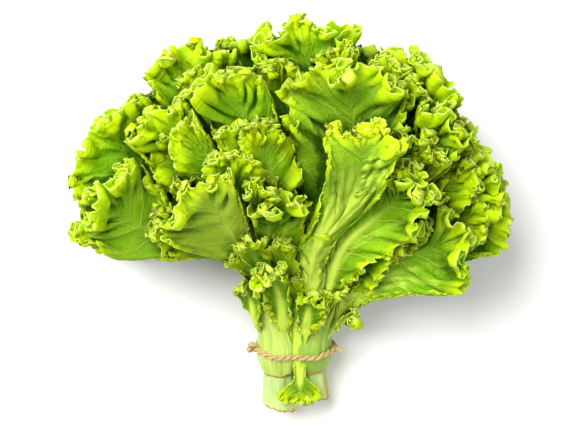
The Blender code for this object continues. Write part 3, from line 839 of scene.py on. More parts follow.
def make_piece(name, points, faces, paint, facts):
    mesh = bpy.data.meshes.new(name)
    mesh.from_pydata((points * MM + ORIGIN).tolist(), [], faces.tolist())
    mesh.materials.append(paint)
    mesh.polygons.foreach_set("use_smooth", [True] * len(mesh.polygons))
    for fact, values in facts.items():
        kind, key = ("FLOAT_VECTOR", "vector") if values.ndim == 2 else ("FLOAT", "value")
        mesh.attributes.new(fact, kind, "POINT").data.foreach_set(key, values.astype(np.float32).ravel())
    piece = into_scene(name, mesh)
    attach(piece, "root")
    return piece


print("skins ready")

# %% [markdown]
# ## Writing shader maths as Python
# A material is a net of small boxes, which is hard to read when each box takes three lines. One
# class wraps a box's output and understands + - and *, so that a mask reads like the sentence that
# describes it. One method makes any other box.

# %% Wrap a shader socket
class Wire:
    def __init__(self, tree, socket=None):
        self.tree, self.socket = tree, socket

    def feed(self, node, inputs):
        """Links or sets a node's sockets."""
        for key, value in inputs.items():
            if isinstance(value, Wire):
                self.tree.links.new(value.socket, node.inputs[key])
            else:
                node.inputs[key].default_value = value

    def box(self, kind, settings, inputs, output=0):
        """Adds a node: its settings first, then the values or links of its sockets."""
        made = self.tree.nodes.new(kind)
        for key, value in settings.items():
            setattr(made, key, value)
        self.feed(made, inputs)
        return Wire(self.tree, made.outputs[output])

    def math(self, operation, first, second):
        return self.box("ShaderNodeMath", {"operation": operation}, {0: first, 1: second})

    def __add__(self, other):
        return self.math("ADD", self, other)

    def __sub__(self, other):
        return self.math("SUBTRACT", self, other)

    def __rsub__(self, other):
        return self.math("SUBTRACT", other, self)

    def __mul__(self, other):
        return self.math("MULTIPLY", self, other)

    __radd__ = __add__
    __rmul__ = __mul__

    def between(self, low, high):
        """0 below low and 1 above high, smooth in between; low may be the larger one."""
        inputs = {"Value": self, "From Min": low, "From Max": high}
        return self.box("ShaderNodeMapRange", {"interpolation_type": "SMOOTHSTEP"}, inputs)

    def mix(self, share, *colours):
        """A colour that goes from the first to the second with share."""
        first, second = (c if isinstance(c, Wire) else (*c, 1) for c in colours)
        return self.box("ShaderNodeMix", {"data_type": "RGBA"}, {0: share, 6: first, 7: second}, 2)

    def stored(self, name, output="Fac"):
        return self.box("ShaderNodeAttribute", {"attribute_name": name}, {}, output)

    def stretched(self, vector, by):
        return self.box("ShaderNodeVectorMath", {"operation": "MULTIPLY"}, {0: vector, 1: by})

    def noise(self, vector, scale, detail=2, roughness=0.5):
        inputs = {"Vector": vector, "Scale": scale, "Detail": detail, "Roughness": roughness}
        return self.box("ShaderNodeTexNoise", {}, inputs)

    def net(self, vector, scale):
        """How far each point lies from the lines of a net."""
        inputs = {"Vector": vector, "Scale": scale}
        return self.box("ShaderNodeTexVoronoi", {"feature": "DISTANCE_TO_EDGE"}, inputs)

    def bump(self, height, distance, strength):
        inputs = {"Height": height, "Distance": distance, "Strength": strength}
        return self.box("ShaderNodeBump", {}, inputs)


def new_paint(name):
    """A material with its shader node, and a wire to start from."""
    paint = bpy.data.materials.new(name)
    paint.use_nodes = True
    return paint, paint.node_tree.nodes["Principled BSDF"], Wire(paint.node_tree)


print("shader wire ready")

# %% [markdown]
# ## Leaf flesh
# The front of a lettuce leaf is a fresh, slightly glossy green, the back is paler and duller, and
# the ribs run to cream. Side veins leave the rib and reach for the margin, with a fine net
# between them, and the margin is thin and nearly yellow. A painted highlight runs along the very
# edge, and painted shade darkens the front in patches towards the rib and where a leaf lies deep
# in the bunch. Light comes through the blade, so a translucent shader is mixed in, less where the
# rib is thick and where the painted shade lies.

# %% Paint the leaves
# The second front green is darker and is used for painted shade in patches towards the rib.
FRONT, FRONT_SHADED, FRONT_YOUNG = (0.08, 0.285, 0.001), (0.04, 0.19, 0.001), (0.45, 0.72, 0.001)
BACK, BACK_PALE = (0.29, 0.56, 0.002), (0.52, 0.69, 0.045)
# The darkest green is painted shade, for points that lie deep under the top of the bunch.
PAINTED_SHADE_GREEN = (0.008, 0.06, 0.001)
RIB = (0.59, 0.77, 0.08)
# The second of these is a painted highlight along the very edge.
MARGIN, EDGE_HIGHLIGHT = (0.78, 0.92, 0.002), (0.86, 0.92, 0.18)
GLOW = (0.43, 0.9, 0.001)


def leaf_paint():
    paint, shader, start = new_paint("leaf_flesh")
    flat = start.stored("flat", "Vector")
    margin, back, rib, vein, row, tone, netted, pale, painted_shade = (
        start.stored(fact)
        for fact in ("margin", "back", "rib", "vein", "row", "tone", "netted", "pale", "painted_shade")
    )
    fold = start.math("PINGPONG", vein + (start.noise(flat, 0.08) - 0.5) * 0.5, 0.5)
    side_vein = fold.between(0.11, 0.02) * row.between(0.95, 0.55)
    net = start.net(flat, 0.16).between(0.1, 0)
    fine_net = start.net(flat, 0.42).between(0.14, 0)
    streaks = start.stretched(flat, (1, 0.05, 1))
    # Lighter yellow-green towards the margin and in random patches is the leaf's own colour, and the darker
    # rows by the rib are partly painted shade.
    young = (start.noise(flat, 0.035, 3) * 0.8 + tone * 0.35 + row * 0.65 - 0.62).between(0, 0.8)
    # Painted shade: random patches that darken the front towards the rib, away from the margin.
    shade = start.noise(flat, 0.02).between(0.35, 0.75) * row.between(0.9, 0.2)
    shaded_patches = (1 - margin.between(12, 1)) * shade * (1 - rib) * 0.45
    colour = start.mix(young, FRONT, FRONT_YOUNG)
    for share, over in (
        (back * 0.75, BACK),
        (pale * 0.8, BACK_PALE),
        (fine_net * 0.08 + net * (0.12 + netted * 0.3), RIB),
        (side_vein * (0.32 + netted * 0.55), RIB),
        (margin.between(15, 1) * 0.75, MARGIN),
        # a painted highlight: a bright line along the very edge of the margin
        (margin.between(0.8, 0.25) * 0.7, EDGE_HIGHLIGHT),
        (rib * (0.8 + start.noise(streaks, 0.8) * 0.3), RIB),
        # painted shade in patches towards the rib
        (shaded_patches, FRONT_SHADED),
        # painted shade, darker where the point lies deep under the top of the bunch
        (painted_shade * 0.9, PAINTED_SHADE_GREEN),
    ):
        colour = start.mix(share, colour, over)

    wrinkles = start.noise(flat, 0.22, 3) * 0.3 + start.noise(flat, 0.1) * (1 + pale * 1.6)
    on_blade = (side_vein * 0.6 + net * 0.2 + fine_net * 0.1 + fold * 1.4 + wrinkles) * (1 - rib)
    bump = start.bump(on_blade + start.noise(streaks, 0.55) * rib, 0.0015, 0.7)
    start.feed(shader, {
        "Base Color": colour, "Normal": bump, "Specular IOR Level": 0.13,
        "Roughness": 0.42 + back * 0.12 + start.noise(flat, 0.3) * 0.1,
    })
    through = start.box("ShaderNodeBsdfTranslucent", {}, {"Color": (*GLOW, 1), "Normal": bump})
    skin = Wire(start.tree, shader.outputs[0])
    # less light comes through the rib and where the painted shade lies
    share = 0.34 - rib * 0.24 - painted_shade * 0.14
    mixed = start.box("ShaderNodeMixShader", {}, {0: share, 1: skin, 2: through})
    start.feed(paint.node_tree.nodes["Material Output"], {"Surface": mixed})
    return paint


LEAF_PAINT = leaf_paint()
print("leaf paint nodes:", len(LEAF_PAINT.node_tree.nodes))

# %% [markdown]
# ## Young leaves in the gaps
# A real bunch shows far more small frills than its few dozen large leaves have. They belong to
# young leaves that push out between the others. Eighteen here share the cell of a large leaf,
# above or below it. Others lie across the lines between cells, and five little ones come out from
# under the twine. Each of those gets a small box of the map as its cell and takes no notice of its
# neighbours, so the frills interlock. The heart leaf is the largest: it lies in front, and its
# broad pale stalk splits into fingers.

# %% List the young leaves
# (leaf whose cell it shares, degrees to the side and up from it, share of its reach, half width)
SHARING = (
    ("inner_1", -7, 3, 0.80, 24), ("inner_1", 7, 3.4, 0.95, 22), ("inner_2", -6, 3.4, 0.86, 25),
    ("inner_2", 7, 3, 0.66, 22), ("inner_3", 7, 3.4, 0.90, 24), ("inner_3", -6, 3, 0.72, 20),
    ("broad_1", -6, 3, 0.84, 24), ("broad_2", 2, 3.4, 0.96, 24), ("broad_3", 8, 3.4, 0.94, 24),
    ("broad_4", -5, 3.2, 0.98, 24), ("broad_4", 8, 3, 0.86, 22), ("broad_5", 3, 3.2, 0.93, 24),
    ("mid_1", -3, 3, 0.96, 24), ("mid_6", 3, 3, 0.93, 24), ("left", 9, 4, 0.78, 22),
    ("front_1", 5, 5, 0.72, 15), ("front_1", -6, -2, 1.10, 17), ("right", -16, 4, 0.80, 22),
)
# (side, rise, reach, half width), and for the ones under the twine also where they start
ACROSS = (
    (-25.5, 37.4, 172, 24), (-30, 50.5, 112, 18), (-12, 35, 186, 18), (34, 37, 190, 20), (55, 37, 150, 22),
    (-50, 37.5, 150, 22), (-25, 26.5, 206, 24), (-4, 26.5, 214, 24), (26, 26.6, 208, 22), (50, 27, 186, 22),
    (-60, 24, 184, 22), (64, 22, 178, 22), (-50, 48, 96, 17), (-38, 30, 192, 22), (40, 29, 198, 22),
    (-64, 30, 42, 10, -16), (4, 54, 64, 14, -22), (42, 53, 56, 14, -12), (-24, 54, 60, 12, -5),
    (66, 36, 52, 12, -4),
)
HEART = (20, 48, 214, 44)
# The box reaches this far to the side and up, and the heart's is narrower by this share.
BOX_SIDE, BOX_RISE, HEART_BOX = 17, 3.6, 0.75
# Below this rise a leaf starts at the crown, and above it right over the twine.
LOW_RISE, LOW_START, HIGH_START = 46, 18, 2
YOUNG = {"name": "young", "waves": 8, "fan": 0.5, "calm": 0.3}
SHARING_SEED, ACROSS_SEED, HEART_NUMBER = (70, 2.3), (130, 2.9), 99


def sharing_leaf(number, parent, side, rise, share, half_width):
    this = grown("leaf_" + parent)
    return {
        **this, **YOUNG, "start": leaf_start(this), "side": this["side"] + side, "rise": this["rise"] + rise,
        "reach": share * this["reach"], "half_width": half_width, "bow": 0, "room": 0,
        "seed": SHARING_SEED[0] + SHARING_SEED[1] * number,
    }


def leaf_across(number, side, rise, reach, half_width, start=None, wide=1):
    """A leaf whose cell is a box of its own."""
    normals = np.array([[1, 0], [-1, 0], [0, 1], [0, -1]])
    half = np.repeat([wide * BOX_SIDE * SIDE_SCALE, BOX_RISE * RISE_SCALE], 2)
    cell = [normals, normals @ label(side, rise) + half, np.full(4, -ALWAYS), np.full(4, ALWAYS)]
    seed = ACROSS_SEED[0] + ACROSS_SEED[1] * number
    this = {**leaf(side, rise, reach, half_width), **YOUNG, "cell": cell, "seed": seed}
    if start is None:
        return {**this, "start": LOW_START if rise < LOW_RISE else HIGH_START}
    return {**this, "start": start, "stalk": 5}


young = [sharing_leaf(number, *entry) for number, entry in enumerate(SHARING)]
young += [leaf_across(number, *entry) for number, entry in enumerate(ACROSS)]
heart_leaf = leaf_across(HEART_NUMBER, *HEART, wide=HEART_BOX)
heart_leaf.update({"name": "leaf_heart", "stalk": 8, "calm": 0})
print("young leaves:", len(young), "and the heart")

# %% [markdown]
# ## What the paint reads
# The paint can't know where a rib or a margin is, so each point of a leaf tells it: where the
# point lies on the flat leaf, how far it is from the margin, how much it belongs to the rib, which
# side vein is near, and whether it is on the pale back. A few whole leaves are paler than the rest
# or have a bright net of veins: the folded one shows its back, and the one on the right its net.

# %% Collect a leaf's facts
PALE = {
    "leaf_folded": 1, "leaf_small_1": 0.15, "leaf_small_4": 0.2, "leaf_base": 0.35, "leaf_centre": 0.25,
    "leaf_left": 0.2, "leaf_heart": 0.3,
}
NETTED = {"leaf_right": 1, "leaf_front_2": 0.3, "leaf_left": 0.4, "leaf_folded": 0.6, "leaf_centre": 0.3}
SIDE_VEINS, PATTERN_STEP = 26, 37
RIB_ROWS, RIB_FADES, STALK_PALE, STALK_SPLITS = (0.06, 0.12), (0.62, 0.30), (0.02, 0.16), (0.34, 0.14)


def leaf_facts(this, way, row, flat, margin, raised, stalk):
    """What the paint reads at each point, for the outer skin and then the inner one."""
    along = flat[:, 1] / leaf_length(this)
    rib = (1 - eased(row, *RIB_ROWS)) * (1 - eased(along, *RIB_FADES))
    rib = np.maximum(rib, 1 - eased(flat[:, 2], *STALK_PALE))
    raised = np.minimum(raised, 1)
    rib = np.maximum(rib, 0.8 * raised)
    rib = np.maximum(rib, 0.9 * stalk * (1 - eased(along, *STALK_SPLITS) * (1 - raised)))
    same = np.ones(len(way))
    facts = {
        "flat": np.stack([flat[:, 0], flat[:, 1], PATTERN_STEP * this["seed"] * same], axis=1),
        "margin": margin,
        "rib": rib,
        "vein": way * SIDE_VEINS,
        "row": row,
        "tone": (0.5 + 0.5 * math.sin(3.3 * this["seed"])) * same,
        "pale": PALE.get(this["name"], 0) * same,
        "netted": NETTED.get(this["name"], 0) * same,
    }
    return {**both_skins(facts), "back": np.concatenate([same, 0 * same])}


print("facts ready")

# %% [markdown]
# ## The leaves themselves
# Now every line of the tables becomes a shape. The leaves that carry fingers get a finer mesh all
# the way to the rib, and the hidden and the small ones a coarser one. The rib thins out well before
# the tip, as it does on a real leaf, and a broad stalk and fingers are added to the back.

# %% Shape the leaves
HIDDEN = ("leaf_low", "leaf_side", "leaf_small")
RIB_THINS = (0.50, 0.35)

all_leaves = {}
for name in LEAVES:
    kind = FINE if name in FINGERS else SMALL if name.startswith(HIDDEN) else COMMON
    all_leaves[name.replace("leaf_", "blade_")] = grown(name), kind
for number, this in enumerate(young, 1):
    all_leaves["young_blade_%d" % number] = this, SMALL
all_leaves["young_blade_heart"] = heart_leaf, FINE

shapes = {}
for piece_name, (this, (way, row, rows, faces)) in all_leaves.items():
    points, inner_half, outer_half, flat, margin = ruffled(this, way, row, rows, faces)
    raised = fingers(this, flat)
    stalk, tall = broad_stalk(this, flat)
    thin = 1 - eased(flat[:, 1] / leaf_length(this), *RIB_THINS)
    outer_half = BLADE_HALF + thin * np.maximum(outer_half - BLADE_HALF, 0)
    outer_half = np.maximum(outer_half, BLADE_HALF + tall * stalk) + raised
    points, skin = closed_skin(points, faces, inner_half + 0.2 * raised, outer_half, leaf_border(rows))
    shapes[piece_name] = points, skin, leaf_facts(this, way, row, flat, margin, raised, stalk)
print("leaves shaped:", len(shapes), "with", sum(len(s[1]) for s in shapes.values()), "triangles")

# %% [markdown]
# ## Painted shade deep in the bunch
# Dark green gaps between bright frills are half of what makes lettuce look like lettuce, and here
# they are painted shade. A coarse height map of the whole dome tells how far below its top each
# point lies, and the paint turns darker with that depth, less on the ribs. Each leaf then becomes
# a piece that stands for the plain leaf of the same name. The young ones stand for none.

# %% Measure the depth for the painted shade and make the pieces
MAP_CELL = 4
# Depths in millimetres over which the painted shade sets in, and the share of it that ribs are spared.
PAINTED_SHADE_FROM, PAINTED_SHADE_RUN = 3.5, 17
RIB_LIGHT = 0.75
every = np.concatenate([points for points, _, _ in shapes.values()])
corner = every[:, :2].min(axis=0)


def map_cells(points):
    return tuple(((points[:, :2] - corner) / MAP_CELL).astype(int).T)


across_cells, along_cells = (numbers.max() + 1 for numbers in map_cells(every))
heights = np.full((across_cells, along_cells), -1.0)
np.maximum.at(heights, map_cells(every), every[:, 2])
framed = np.pad(heights, 1, mode="edge")
blurred = sum(framed[i : i + across_cells, j : j + along_cells] for i in range(3) for j in range(3)) / 9
for piece_name, (points, skin, facts) in shapes.items():
    below = blurred[map_cells(points)] - points[:, 2]
    # Painted shade: how far a point lies below the blurred top of the dome, less on the ribs.
    facts["painted_shade"] = eased(below, PAINTED_SHADE_FROM, PAINTED_SHADE_RUN) * (1 - RIB_LIGHT * facts["rib"])
    piece = make_piece(piece_name, points, skin, LEAF_PAINT, facts)
    if piece_name.startswith("blade_"):
        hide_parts(piece_name.replace("blade_", "leaf_"))
print("height map:", across_cells, "by", along_cells)

# %% [markdown]
# ## Two cut stumps
# Each stem ends in a stump that was cut with one slanting stroke. Its skin has shallow ribs, its
# rim has dried brown and a little ragged, and the pith inside is pale. It is drawn as rings: over
# the cut face from the middle out, round the rim, and up to the crown that the leaves hide.

# %% Turn the stumps
STEMS = {
    "left": {"hand": -1, "cut": -44, "offset": (-10.6, 0), "radius": 12.4, "slant": 12, "streak": 5.9},
    "right": {"hand": 1, "cut": -37, "offset": (13.4, -1.5), "radius": 11.2, "slant": 4, "streak": 0.45},
}
# (distance from the lowest cut, share of the radius)
STEM_PROFILE = ((1, 0.97), (4, 1), (24, 0.93), (44, 0.765), (62, 0.70), (73, 0.60), (78, 0.42))
LOWEST_CUT, CROWN = -44, 36.5
SLANT_SHARE = 0.6
STEM_SIDES, STEM_RINGS, PITH_RINGS = 96, 56, 14
# (times round, height, lag)
STEM_RIBS = ((9, 0.30, 0.4), (14, 0.16, 2), (23, 0.08, 1))
RAGGED = ((7, 0.35, 0.3), (13, 0.3, 1.9), (31, 0.25, 2.6))
RAGGED_RUN, RAGGED_SIDE_RUN, RIBS_RUN = 4, 5, 8
CROWN_SHRINK, CROWN_RUN = 0.8, (33, 3.5)
DISH, DISH_ROUGH = 0.7, 0.15
STREAK_WIDTH, STREAK_RUN = 0.17, (12, 14)
PATTERN_RADIUS = 12


def waves_round(turn, table):
    return sum(amount * np.sin(times * turn + lag) for times, amount, lag in table)


def stump(stem):
    """Points, triangles and facts of a stump."""
    cut = stem["cut"]
    turn = (2 * math.pi * np.arange(STEM_SIDES) / STEM_SIDES)[None, :]
    share = np.concatenate([np.linspace(0.04, 0.98, PITH_RINGS), np.ones(STEM_RINGS)])[:, None]
    station = np.concatenate([np.full(PITH_RINGS, cut), np.linspace(cut + 0.4, CROWN, STEM_RINGS)])[:, None]
    width = np.interp(station - LOWEST_CUT, *zip(*STEM_PROFILE))
    width = width * (1 - CROWN_SHRINK * eased(station, *CROWN_RUN))
    whole = np.ones((len(station), STEM_SIDES))
    from_cut = (station - cut) * whole
    radius = share * (stem["radius"] * width + waves_round(turn, STEM_RIBS) * eased(from_cut, 0, RIBS_RUN))
    radius = radius + share * 0.4 * waves_round(turn, RAGGED) * (1 - eased(from_cut, 0, RAGGED_SIDE_RUN))
    back = np.clip(station / cut, 0, 1)
    middle_x = (1 - back) * stem["hand"] * STEM_HALF_SPACING + back * stem["offset"][0]
    slant = math.tan(math.radians(stem["slant"])) * eased(back, SLANT_SHARE, 1 - SLANT_SHARE)
    x, z = radius * np.cos(turn), radius * np.sin(turn)
    ragged = (waves_round(turn, RAGGED) + 0.9) * share**3 * (1 - eased(from_cut, 0, RAGGED_RUN))
    dish = DISH * (1 - share**2) + DISH_ROUGH * waves_round(turn * 2 + share * 9, RAGGED)
    along = station - x * slant + ragged + np.where(share < 1, dish, 0)
    points = tilted(middle_x + x, along, back * stem["offset"][1] + z).reshape(-1, 3)
    apart = np.abs((turn - stem["streak"] + math.pi) % (2 * math.pi) - math.pi) * whole
    streak = np.exp(-((apart / STREAK_WIDTH) ** 2)) * (1 - eased(from_cut, *STREAK_RUN))
    facts = {"from_cut": from_cut + ragged, "pith": share * whole, "streak": streak}
    facts = {key: values.ravel() for key, values in facts.items()}
    round_x, round_z = (PATTERN_RADIUS * wave(turn) * whole for wave in (np.cos, np.sin))
    facts["skin"] = np.stack([round_x, round_z, along], axis=-1).reshape(-1, 3)
    return points, ring_faces(len(points), STEM_SIDES), facts


STUMP, STUMP_GREY, PITH = (0.59, 0.73, 0.23), (0.4, 0.54, 0.17), (0.7, 0.74, 0.33)
CUT_BROWN, CUT_DARK = (0.48, 0.215, 0.03), (0.17, 0.065, 0.012)


def stem_paint():
    paint, shader, start = new_paint("stem_skin")
    skin = start.stored("skin", "Vector")
    from_cut, pith = start.stored("from_cut"), start.stored("pith")
    streaks = start.noise(start.stretched(skin, (1, 1, 0.12)), 0.55, 4)
    spots = start.noise(skin, 0.5, 5, 0.65)
    dried = (from_cut - spots * 6 + 1.5).between(1.4, -0.6)
    face = start.mix((spots - 0.1).between(0.25, 0.6), PITH, CUT_BROWN)
    colour = start.mix((streaks * 1.5 + from_cut * 0.012 - 0.32).between(0.1, 0.8), STUMP, STUMP_GREY)
    for share, over in (
        (dried * pith.between(0.9, 0.99), CUT_BROWN),
        (pith.between(0.999, 0.97), face),
        (start.stored("streak") * (spots + 0.35), CUT_BROWN),
        (dried * spots.between(0.5, 0.65) * 0.8, CUT_DARK),
    ):
        colour = start.mix(share, colour, over)
    start.feed(shader, {
        "Base Color": colour, "Normal": start.bump(streaks + spots * 0.5, 0.0006, 0.6),
        "Roughness": 0.42 + spots * 0.2,
        "Subsurface Weight": 0.12, "Subsurface Radius": (0.004, 0.004, 0.001),
    })
    return paint


STEM_PAINT = stem_paint()
for side_name, stem in STEMS.items():
    points, faces, facts = stump(stem)
    piece = make_piece("stump_" + side_name, points, faces, STEM_PAINT, facts)
    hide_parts("stem_" + side_name)
    print(piece.name, len(faces), "triangles")

# %% [markdown]
# ## Clasping leaf bases
# The outermost leaves clasp the stump with broad fleshy bases, which is why the bunch looks
# solid under the twine. Two curved sheets do it, one round each stem. Above the twine the left
# one draws in to the left leaf's rib, and each ends below in a brown torn line.

# %% Wrap the bases round the stems
# goal is the direction that the top draws in to, low and high the stations of the two ends, round
# the degrees that it goes round its stem, and out how far it stands off.
BASES = {
    "base_left": {
        "hand": -1, "goal": (-66, 36), "low": -17.5, "high": 66, "from": 0.10, "round": 125, "green": 0,
        "out": 1.13,
    },
    "base_right": {
        "hand": 1, "goal": (60, 34), "low": -15, "high": 36, "from": -0.34, "round": 118, "green": 0.8,
        "out": 1.04,
    },
}
LOW_OUT, HUG_END = 0.16, -3
BASE_STRAIGHT = 0.3
DRAW_IN, DRAW_IN_FROM, DRAW_IN_END = 0.86, 2, 8
BASE_THICK, EDGE_THICK, EDGE_RUN, TOP_RUN = 0.8, 0.15, 0.12, 0.1
BASE_COLUMNS, BASE_LINES, BASE_WIDTH = 72, 60, 40
# (times across, height, lag)
TORN, TORN_RUN = ((6, 1.1, 2.2), (17, 0.5, 0), (61, 0.25, 0)), 0.2
BASE_RIBS = ((34, 0.035, 0), (71, 0.02, 1))


def clasping_base(base):
    across, up = np.meshgrid(np.linspace(0, 1, BASE_COLUMNS), np.linspace(0, 1, BASE_LINES))
    torn = waves_round(across, TORN) * (1 - eased(up, 0, TORN_RUN))
    station = base["low"] + torn + (base["high"] - base["low"]) * up
    turn = np.radians(90 + base["round"] * np.clip((across - BASE_STRAIGHT) / (1 - BASE_STRAIGHT), 0, 1))
    along_core = -CORE_SHARE + (CORE_SHARE - base["from"]) * (1 - np.clip(across / BASE_STRAIGHT, 0, 1))
    hug = eased(station, base["low"], HUG_END - base["low"])
    out = LOW_OUT + (base["out"] - LOW_OUT + waves_round(across, BASE_RIBS)) * hug
    side = -base["hand"] * (out * np.cos(turn) * (1 - CORE_SHARE) + along_core) * SIDE_SPREAD
    rise = MIDDLE_RISE + out * np.sin(turn) * RISE_SPREAD
    draw_in = DRAW_IN * eased(station, DRAW_IN_FROM, base["high"] - DRAW_IN_END)
    side = side + (base["goal"][0] - side) * draw_in
    rise = rise + (base["goal"][1] - rise) * draw_in
    points = place(side.ravel(), rise.ravel(), station.ravel())
    edge = np.minimum(1, np.minimum(across, 1 - across) / EDGE_RUN) ** 0.5
    top = eased((1 - up) / TOP_RUN + 0.1, 0, 1)
    thick = (EDGE_THICK + BASE_THICK * edge * (1 - 0.5 * up) * top).ravel()
    rows = list(np.arange(points.shape[0]).reshape(BASE_LINES, BASE_COLUMNS))
    points, skin = closed_skin(points, row_triangles(rows), thick, thick, sheet_border(rows))
    facts = {
        "skin": np.stack([across.ravel() * BASE_WIDTH, np.zeros(across.size), station.ravel()], axis=1),
        "from_low": (station - base["low"] - torn).ravel(),
        "green": (base["green"] + (1 - base["green"]) * 0.8 * eased(up, 0.45, 0.5)).ravel(),
    }
    return points, skin, both_skins(facts)


BASE_PALE, BASE_GREEN = (0.5, 0.64, 0.11), (0.16, 0.36, 0.01)


def base_paint():
    paint, shader, start = new_paint("base_skin")
    skin = start.stored("skin", "Vector")
    streaks = start.noise(start.stretched(skin, (1, 1, 0.08)), 0.5, 4)
    spots = start.noise(skin, 0.6, 4)
    green = (streaks * 1.6 - 0.5 + start.stored("green") * 0.7).between(0.1, 0.9) * 0.75
    brown = (start.stored("from_low") - spots * 3).between(0.4, -0.8)
    start.feed(shader, {
        "Base Color": start.mix(brown, start.mix(green, BASE_PALE, BASE_GREEN), CUT_BROWN),
        "Normal": start.bump(streaks, 0.0008, 0.7), "Roughness": 0.38 + spots * 0.15,
        "Subsurface Weight": 0.1, "Subsurface Radius": (0.003, 0.003, 0.001),
    })
    return paint


BASE_PAINT = base_paint()
for name, base in BASES.items():
    points, faces, facts = clasping_base(base)
    make_piece(name, points, faces, BASE_PAINT, facts)
    print(name, len(faces), "triangles")

# %% [markdown]
# ## Twine
# A thin natural twine of two strands holds the bunch. It lies against the leaf bases, sags a
# little in front, and its ends are short, frayed and curled. Each strand is a tube that winds
# round the line of the twine, and loose fibres stand off it, as on any cheap garden twine.

# %% Lines and tubes
RING = core_radius(0) + SHEATH * 1.2 + 2.1
SAG = 2.4


def twine_line(steps):
    """Points round both stems, and the direction away from them, as (x, along, z)."""
    straight, bend = 2 * STEM_HALF_SPACING, math.pi * RING
    d = 2 * (straight + bend) * np.arange(steps) / steps
    first = d < straight + bend
    turned = np.where(first, d - straight, d - 2 * straight - bend)
    turn = np.where(first, math.pi / 2, -math.pi / 2) - np.clip(turned, 0, bend) / RING
    middle = np.where(first, np.minimum(d, straight), straight - np.clip(d - straight - bend, 0, straight))
    middle = middle - straight / 2
    away = np.stack([np.cos(turn), np.zeros(steps), np.sin(turn)], axis=1)
    line = RING * away
    line[:, 0] += middle
    line[:, 1] = -SAG * np.maximum(away[:, 2], 0) ** 2 + 0.5 * np.sin(5 * turn + middle * 0.4)
    return line, away


def unit(vectors):
    return vectors / np.linalg.norm(vectors, axis=-1, keepdims=True)


def tube(path, reference, radius, sides, closed=False):
    """A round tube along a path; reference is a direction at each point that isn't the path's own."""
    steps = np.roll(path, -1, axis=0) - np.roll(path, 1, axis=0) if closed else np.gradient(path, axis=0)
    tangent = unit(steps)
    first = unit(reference - (reference * tangent).sum(axis=1, keepdims=True) * tangent)
    second = np.cross(tangent, first)
    turn = 2 * math.pi * np.arange(sides) / sides
    ring = first[:, None] * np.cos(turn)[None, :, None] + second[:, None] * np.sin(turn)[None, :, None]
    points = (path[:, None] + ring * np.reshape(radius * np.ones(len(path)), (-1, 1, 1))).reshape(-1, 3)
    return points, ring_faces(len(points), sides, closed)[:, ::-1]  # its rings turn the other way


def rounded(corners, steps):
    """A smooth line through corners."""
    corners = np.array(corners)
    t = np.linspace(0, len(corners) - 1, steps)
    k = np.minimum(t.astype(int), len(corners) - 2)
    slope = np.gradient(corners, axis=0)
    u = (t - k)[:, None]
    a, b, m, n = corners[k], corners[k + 1], slope[k], slope[k + 1]
    return (2*u**3 - 3*u**2 + 1) * a + (u**3 - 2*u**2 + u) * m + (3*u**2 - 2*u**3) * b + (u**3 - u**2) * n


print("round the stems:", round(2 * (2 * STEM_HALF_SPACING + math.pi * RING)), "mm")

# %% [markdown]
# ## Strands, ends and fibres
# The strands wind round the closed line, half a turn apart. At each end three thin tails spread and
# taper. The fibres are drawn at random from a fixed seed, so they are the same in each run.

# %% Twist the twine
STRANDS, STRAND_RADIUS, STRAND_OFFSET, STRAND_TURNS = 2, 1.08, 1, 14
TWINE_STEPS, STRAND_SIDES = 340, 9
END_TAILS, END_STEPS, END_SIDES, END_LOOSE = 3, 40, 7, 0.4
ENDS = (
    (
        (-27, -0.4, 2), (-29.5, 0.8, 5), (-31.6, 2.6, 7.5), (-31, 4.8, 9), (-28.8, 5.2, 9),
        (-28.4, 3.6, 8),
    ),
    ((-27.4, -0.6, 1), (-30.2, -2, 3), (-32.2, -1.6, 5), (-32.4, 0.2, 6), (-30.6, 1, 6)),
    ((26.5, -0.5, 4), (29.5, 0.6, 6), (31.8, 0.2, 7), (33, -1.2, 7.4)),
)
FIBRES, FIBRE_STEPS, FIBRE_RADIUS, FIBRE_SIDES = 190, 6, 0.1, 3
FIBRE_LENGTHS = (1.2, 3.4)
rng = np.random.default_rng(11)

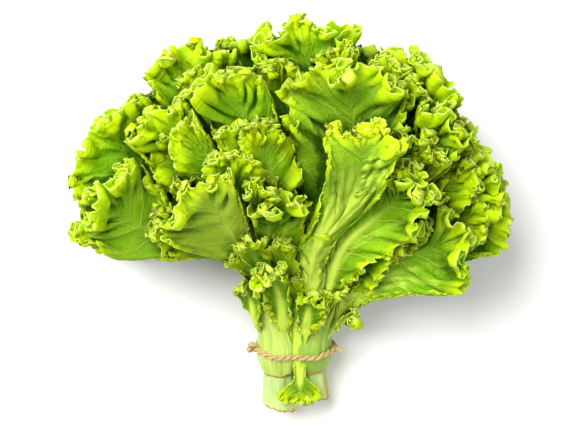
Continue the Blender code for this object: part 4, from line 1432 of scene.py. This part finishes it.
line, away = twine_line(TWINE_STEPS)
axis = np.array([0, 1, 0])
parts = []
for strand in range(STRANDS):
    wind = 2 * math.pi * (STRAND_TURNS * np.arange(TWINE_STEPS) / TWINE_STEPS + strand / STRANDS)
    lean = away * np.cos(wind)[:, None] + axis * np.sin(wind)[:, None]
    parts.append((*tube(line + STRAND_OFFSET * lean, lean, STRAND_RADIUS, STRAND_SIDES, True), 0))
t = np.linspace(0, 1, END_STEPS)
for corners in ENDS:
    for tail in range(END_TAILS):
        wind = 9 * t + 2.1 * tail
        around = np.stack([np.cos(wind), np.sin(wind), np.cos(wind + 1)], axis=1)
        path = rounded(corners, END_STEPS) + (0.5 + 0.9 * t**2)[:, None] * around
        parts.append((*tube(path, np.array([[0.3, 0.2, 1]]), 0.62 - 0.42 * t**2, END_SIDES), END_LOOSE))
t = np.linspace(0, 1, FIBRE_STEPS)[:, None]
for fibre in range(FIBRES):
    k = rng.integers(TWINE_STEPS)
    out = unit(away[k] * rng.uniform(0.2, 1) + axis * rng.uniform(-1, 1))
    ahead = unit((line[(k + 1) % TWINE_STEPS] - line[k]) * rng.choice([-1, 1]))
    size = rng.uniform(*FIBRE_LENGTHS)
    path = line[k] + out * (1.4 + 0.5 * size * t) + ahead * size * (t + 0.4 * np.sin(3 * t))
    parts.append((*tube(path, axis[None] + 0.3, FIBRE_RADIUS, FIBRE_SIDES), 1))

counts = [len(part_points) for part_points, _, _ in parts]
firsts = np.cumsum([0, *counts[:-1]])
points = np.concatenate([part_points for part_points, _, _ in parts])
faces = np.concatenate([part_faces + first for (_, part_faces, _), first in zip(parts, firsts)])
loose = np.repeat([float(looseness) for _, _, looseness in parts], counts)

TWINE_LIGHT, TWINE_SHADE = (0.8, 0.61, 0.27), (0.3, 0.14, 0.035)


def twine_paint():
    paint, shader, start = new_paint("twine_fibre")
    where = start.stored("where", "Vector")
    fibre = start.noise(where, 0.9, 5, 0.7)
    fine = start.noise(where, 3, 3, 0.6)
    colour = start.mix((fibre * 0.7 + fine * 0.5 - 0.1).between(0.65, 0.3), TWINE_LIGHT, TWINE_SHADE)
    start.feed(shader, {
        "Base Color": start.mix(start.stored("loose") * 0.6, colour, TWINE_LIGHT),
        "Normal": start.bump(fine + fibre, 0.0005, 0.8), "Roughness": 0.85,
    })
    return paint


laid = tilted(*points.T)
rope = make_piece("twine_rope", laid, faces, twine_paint(), {"loose": loose, "where": points})
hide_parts("twine")
print("twine:", len(faces), "triangles")
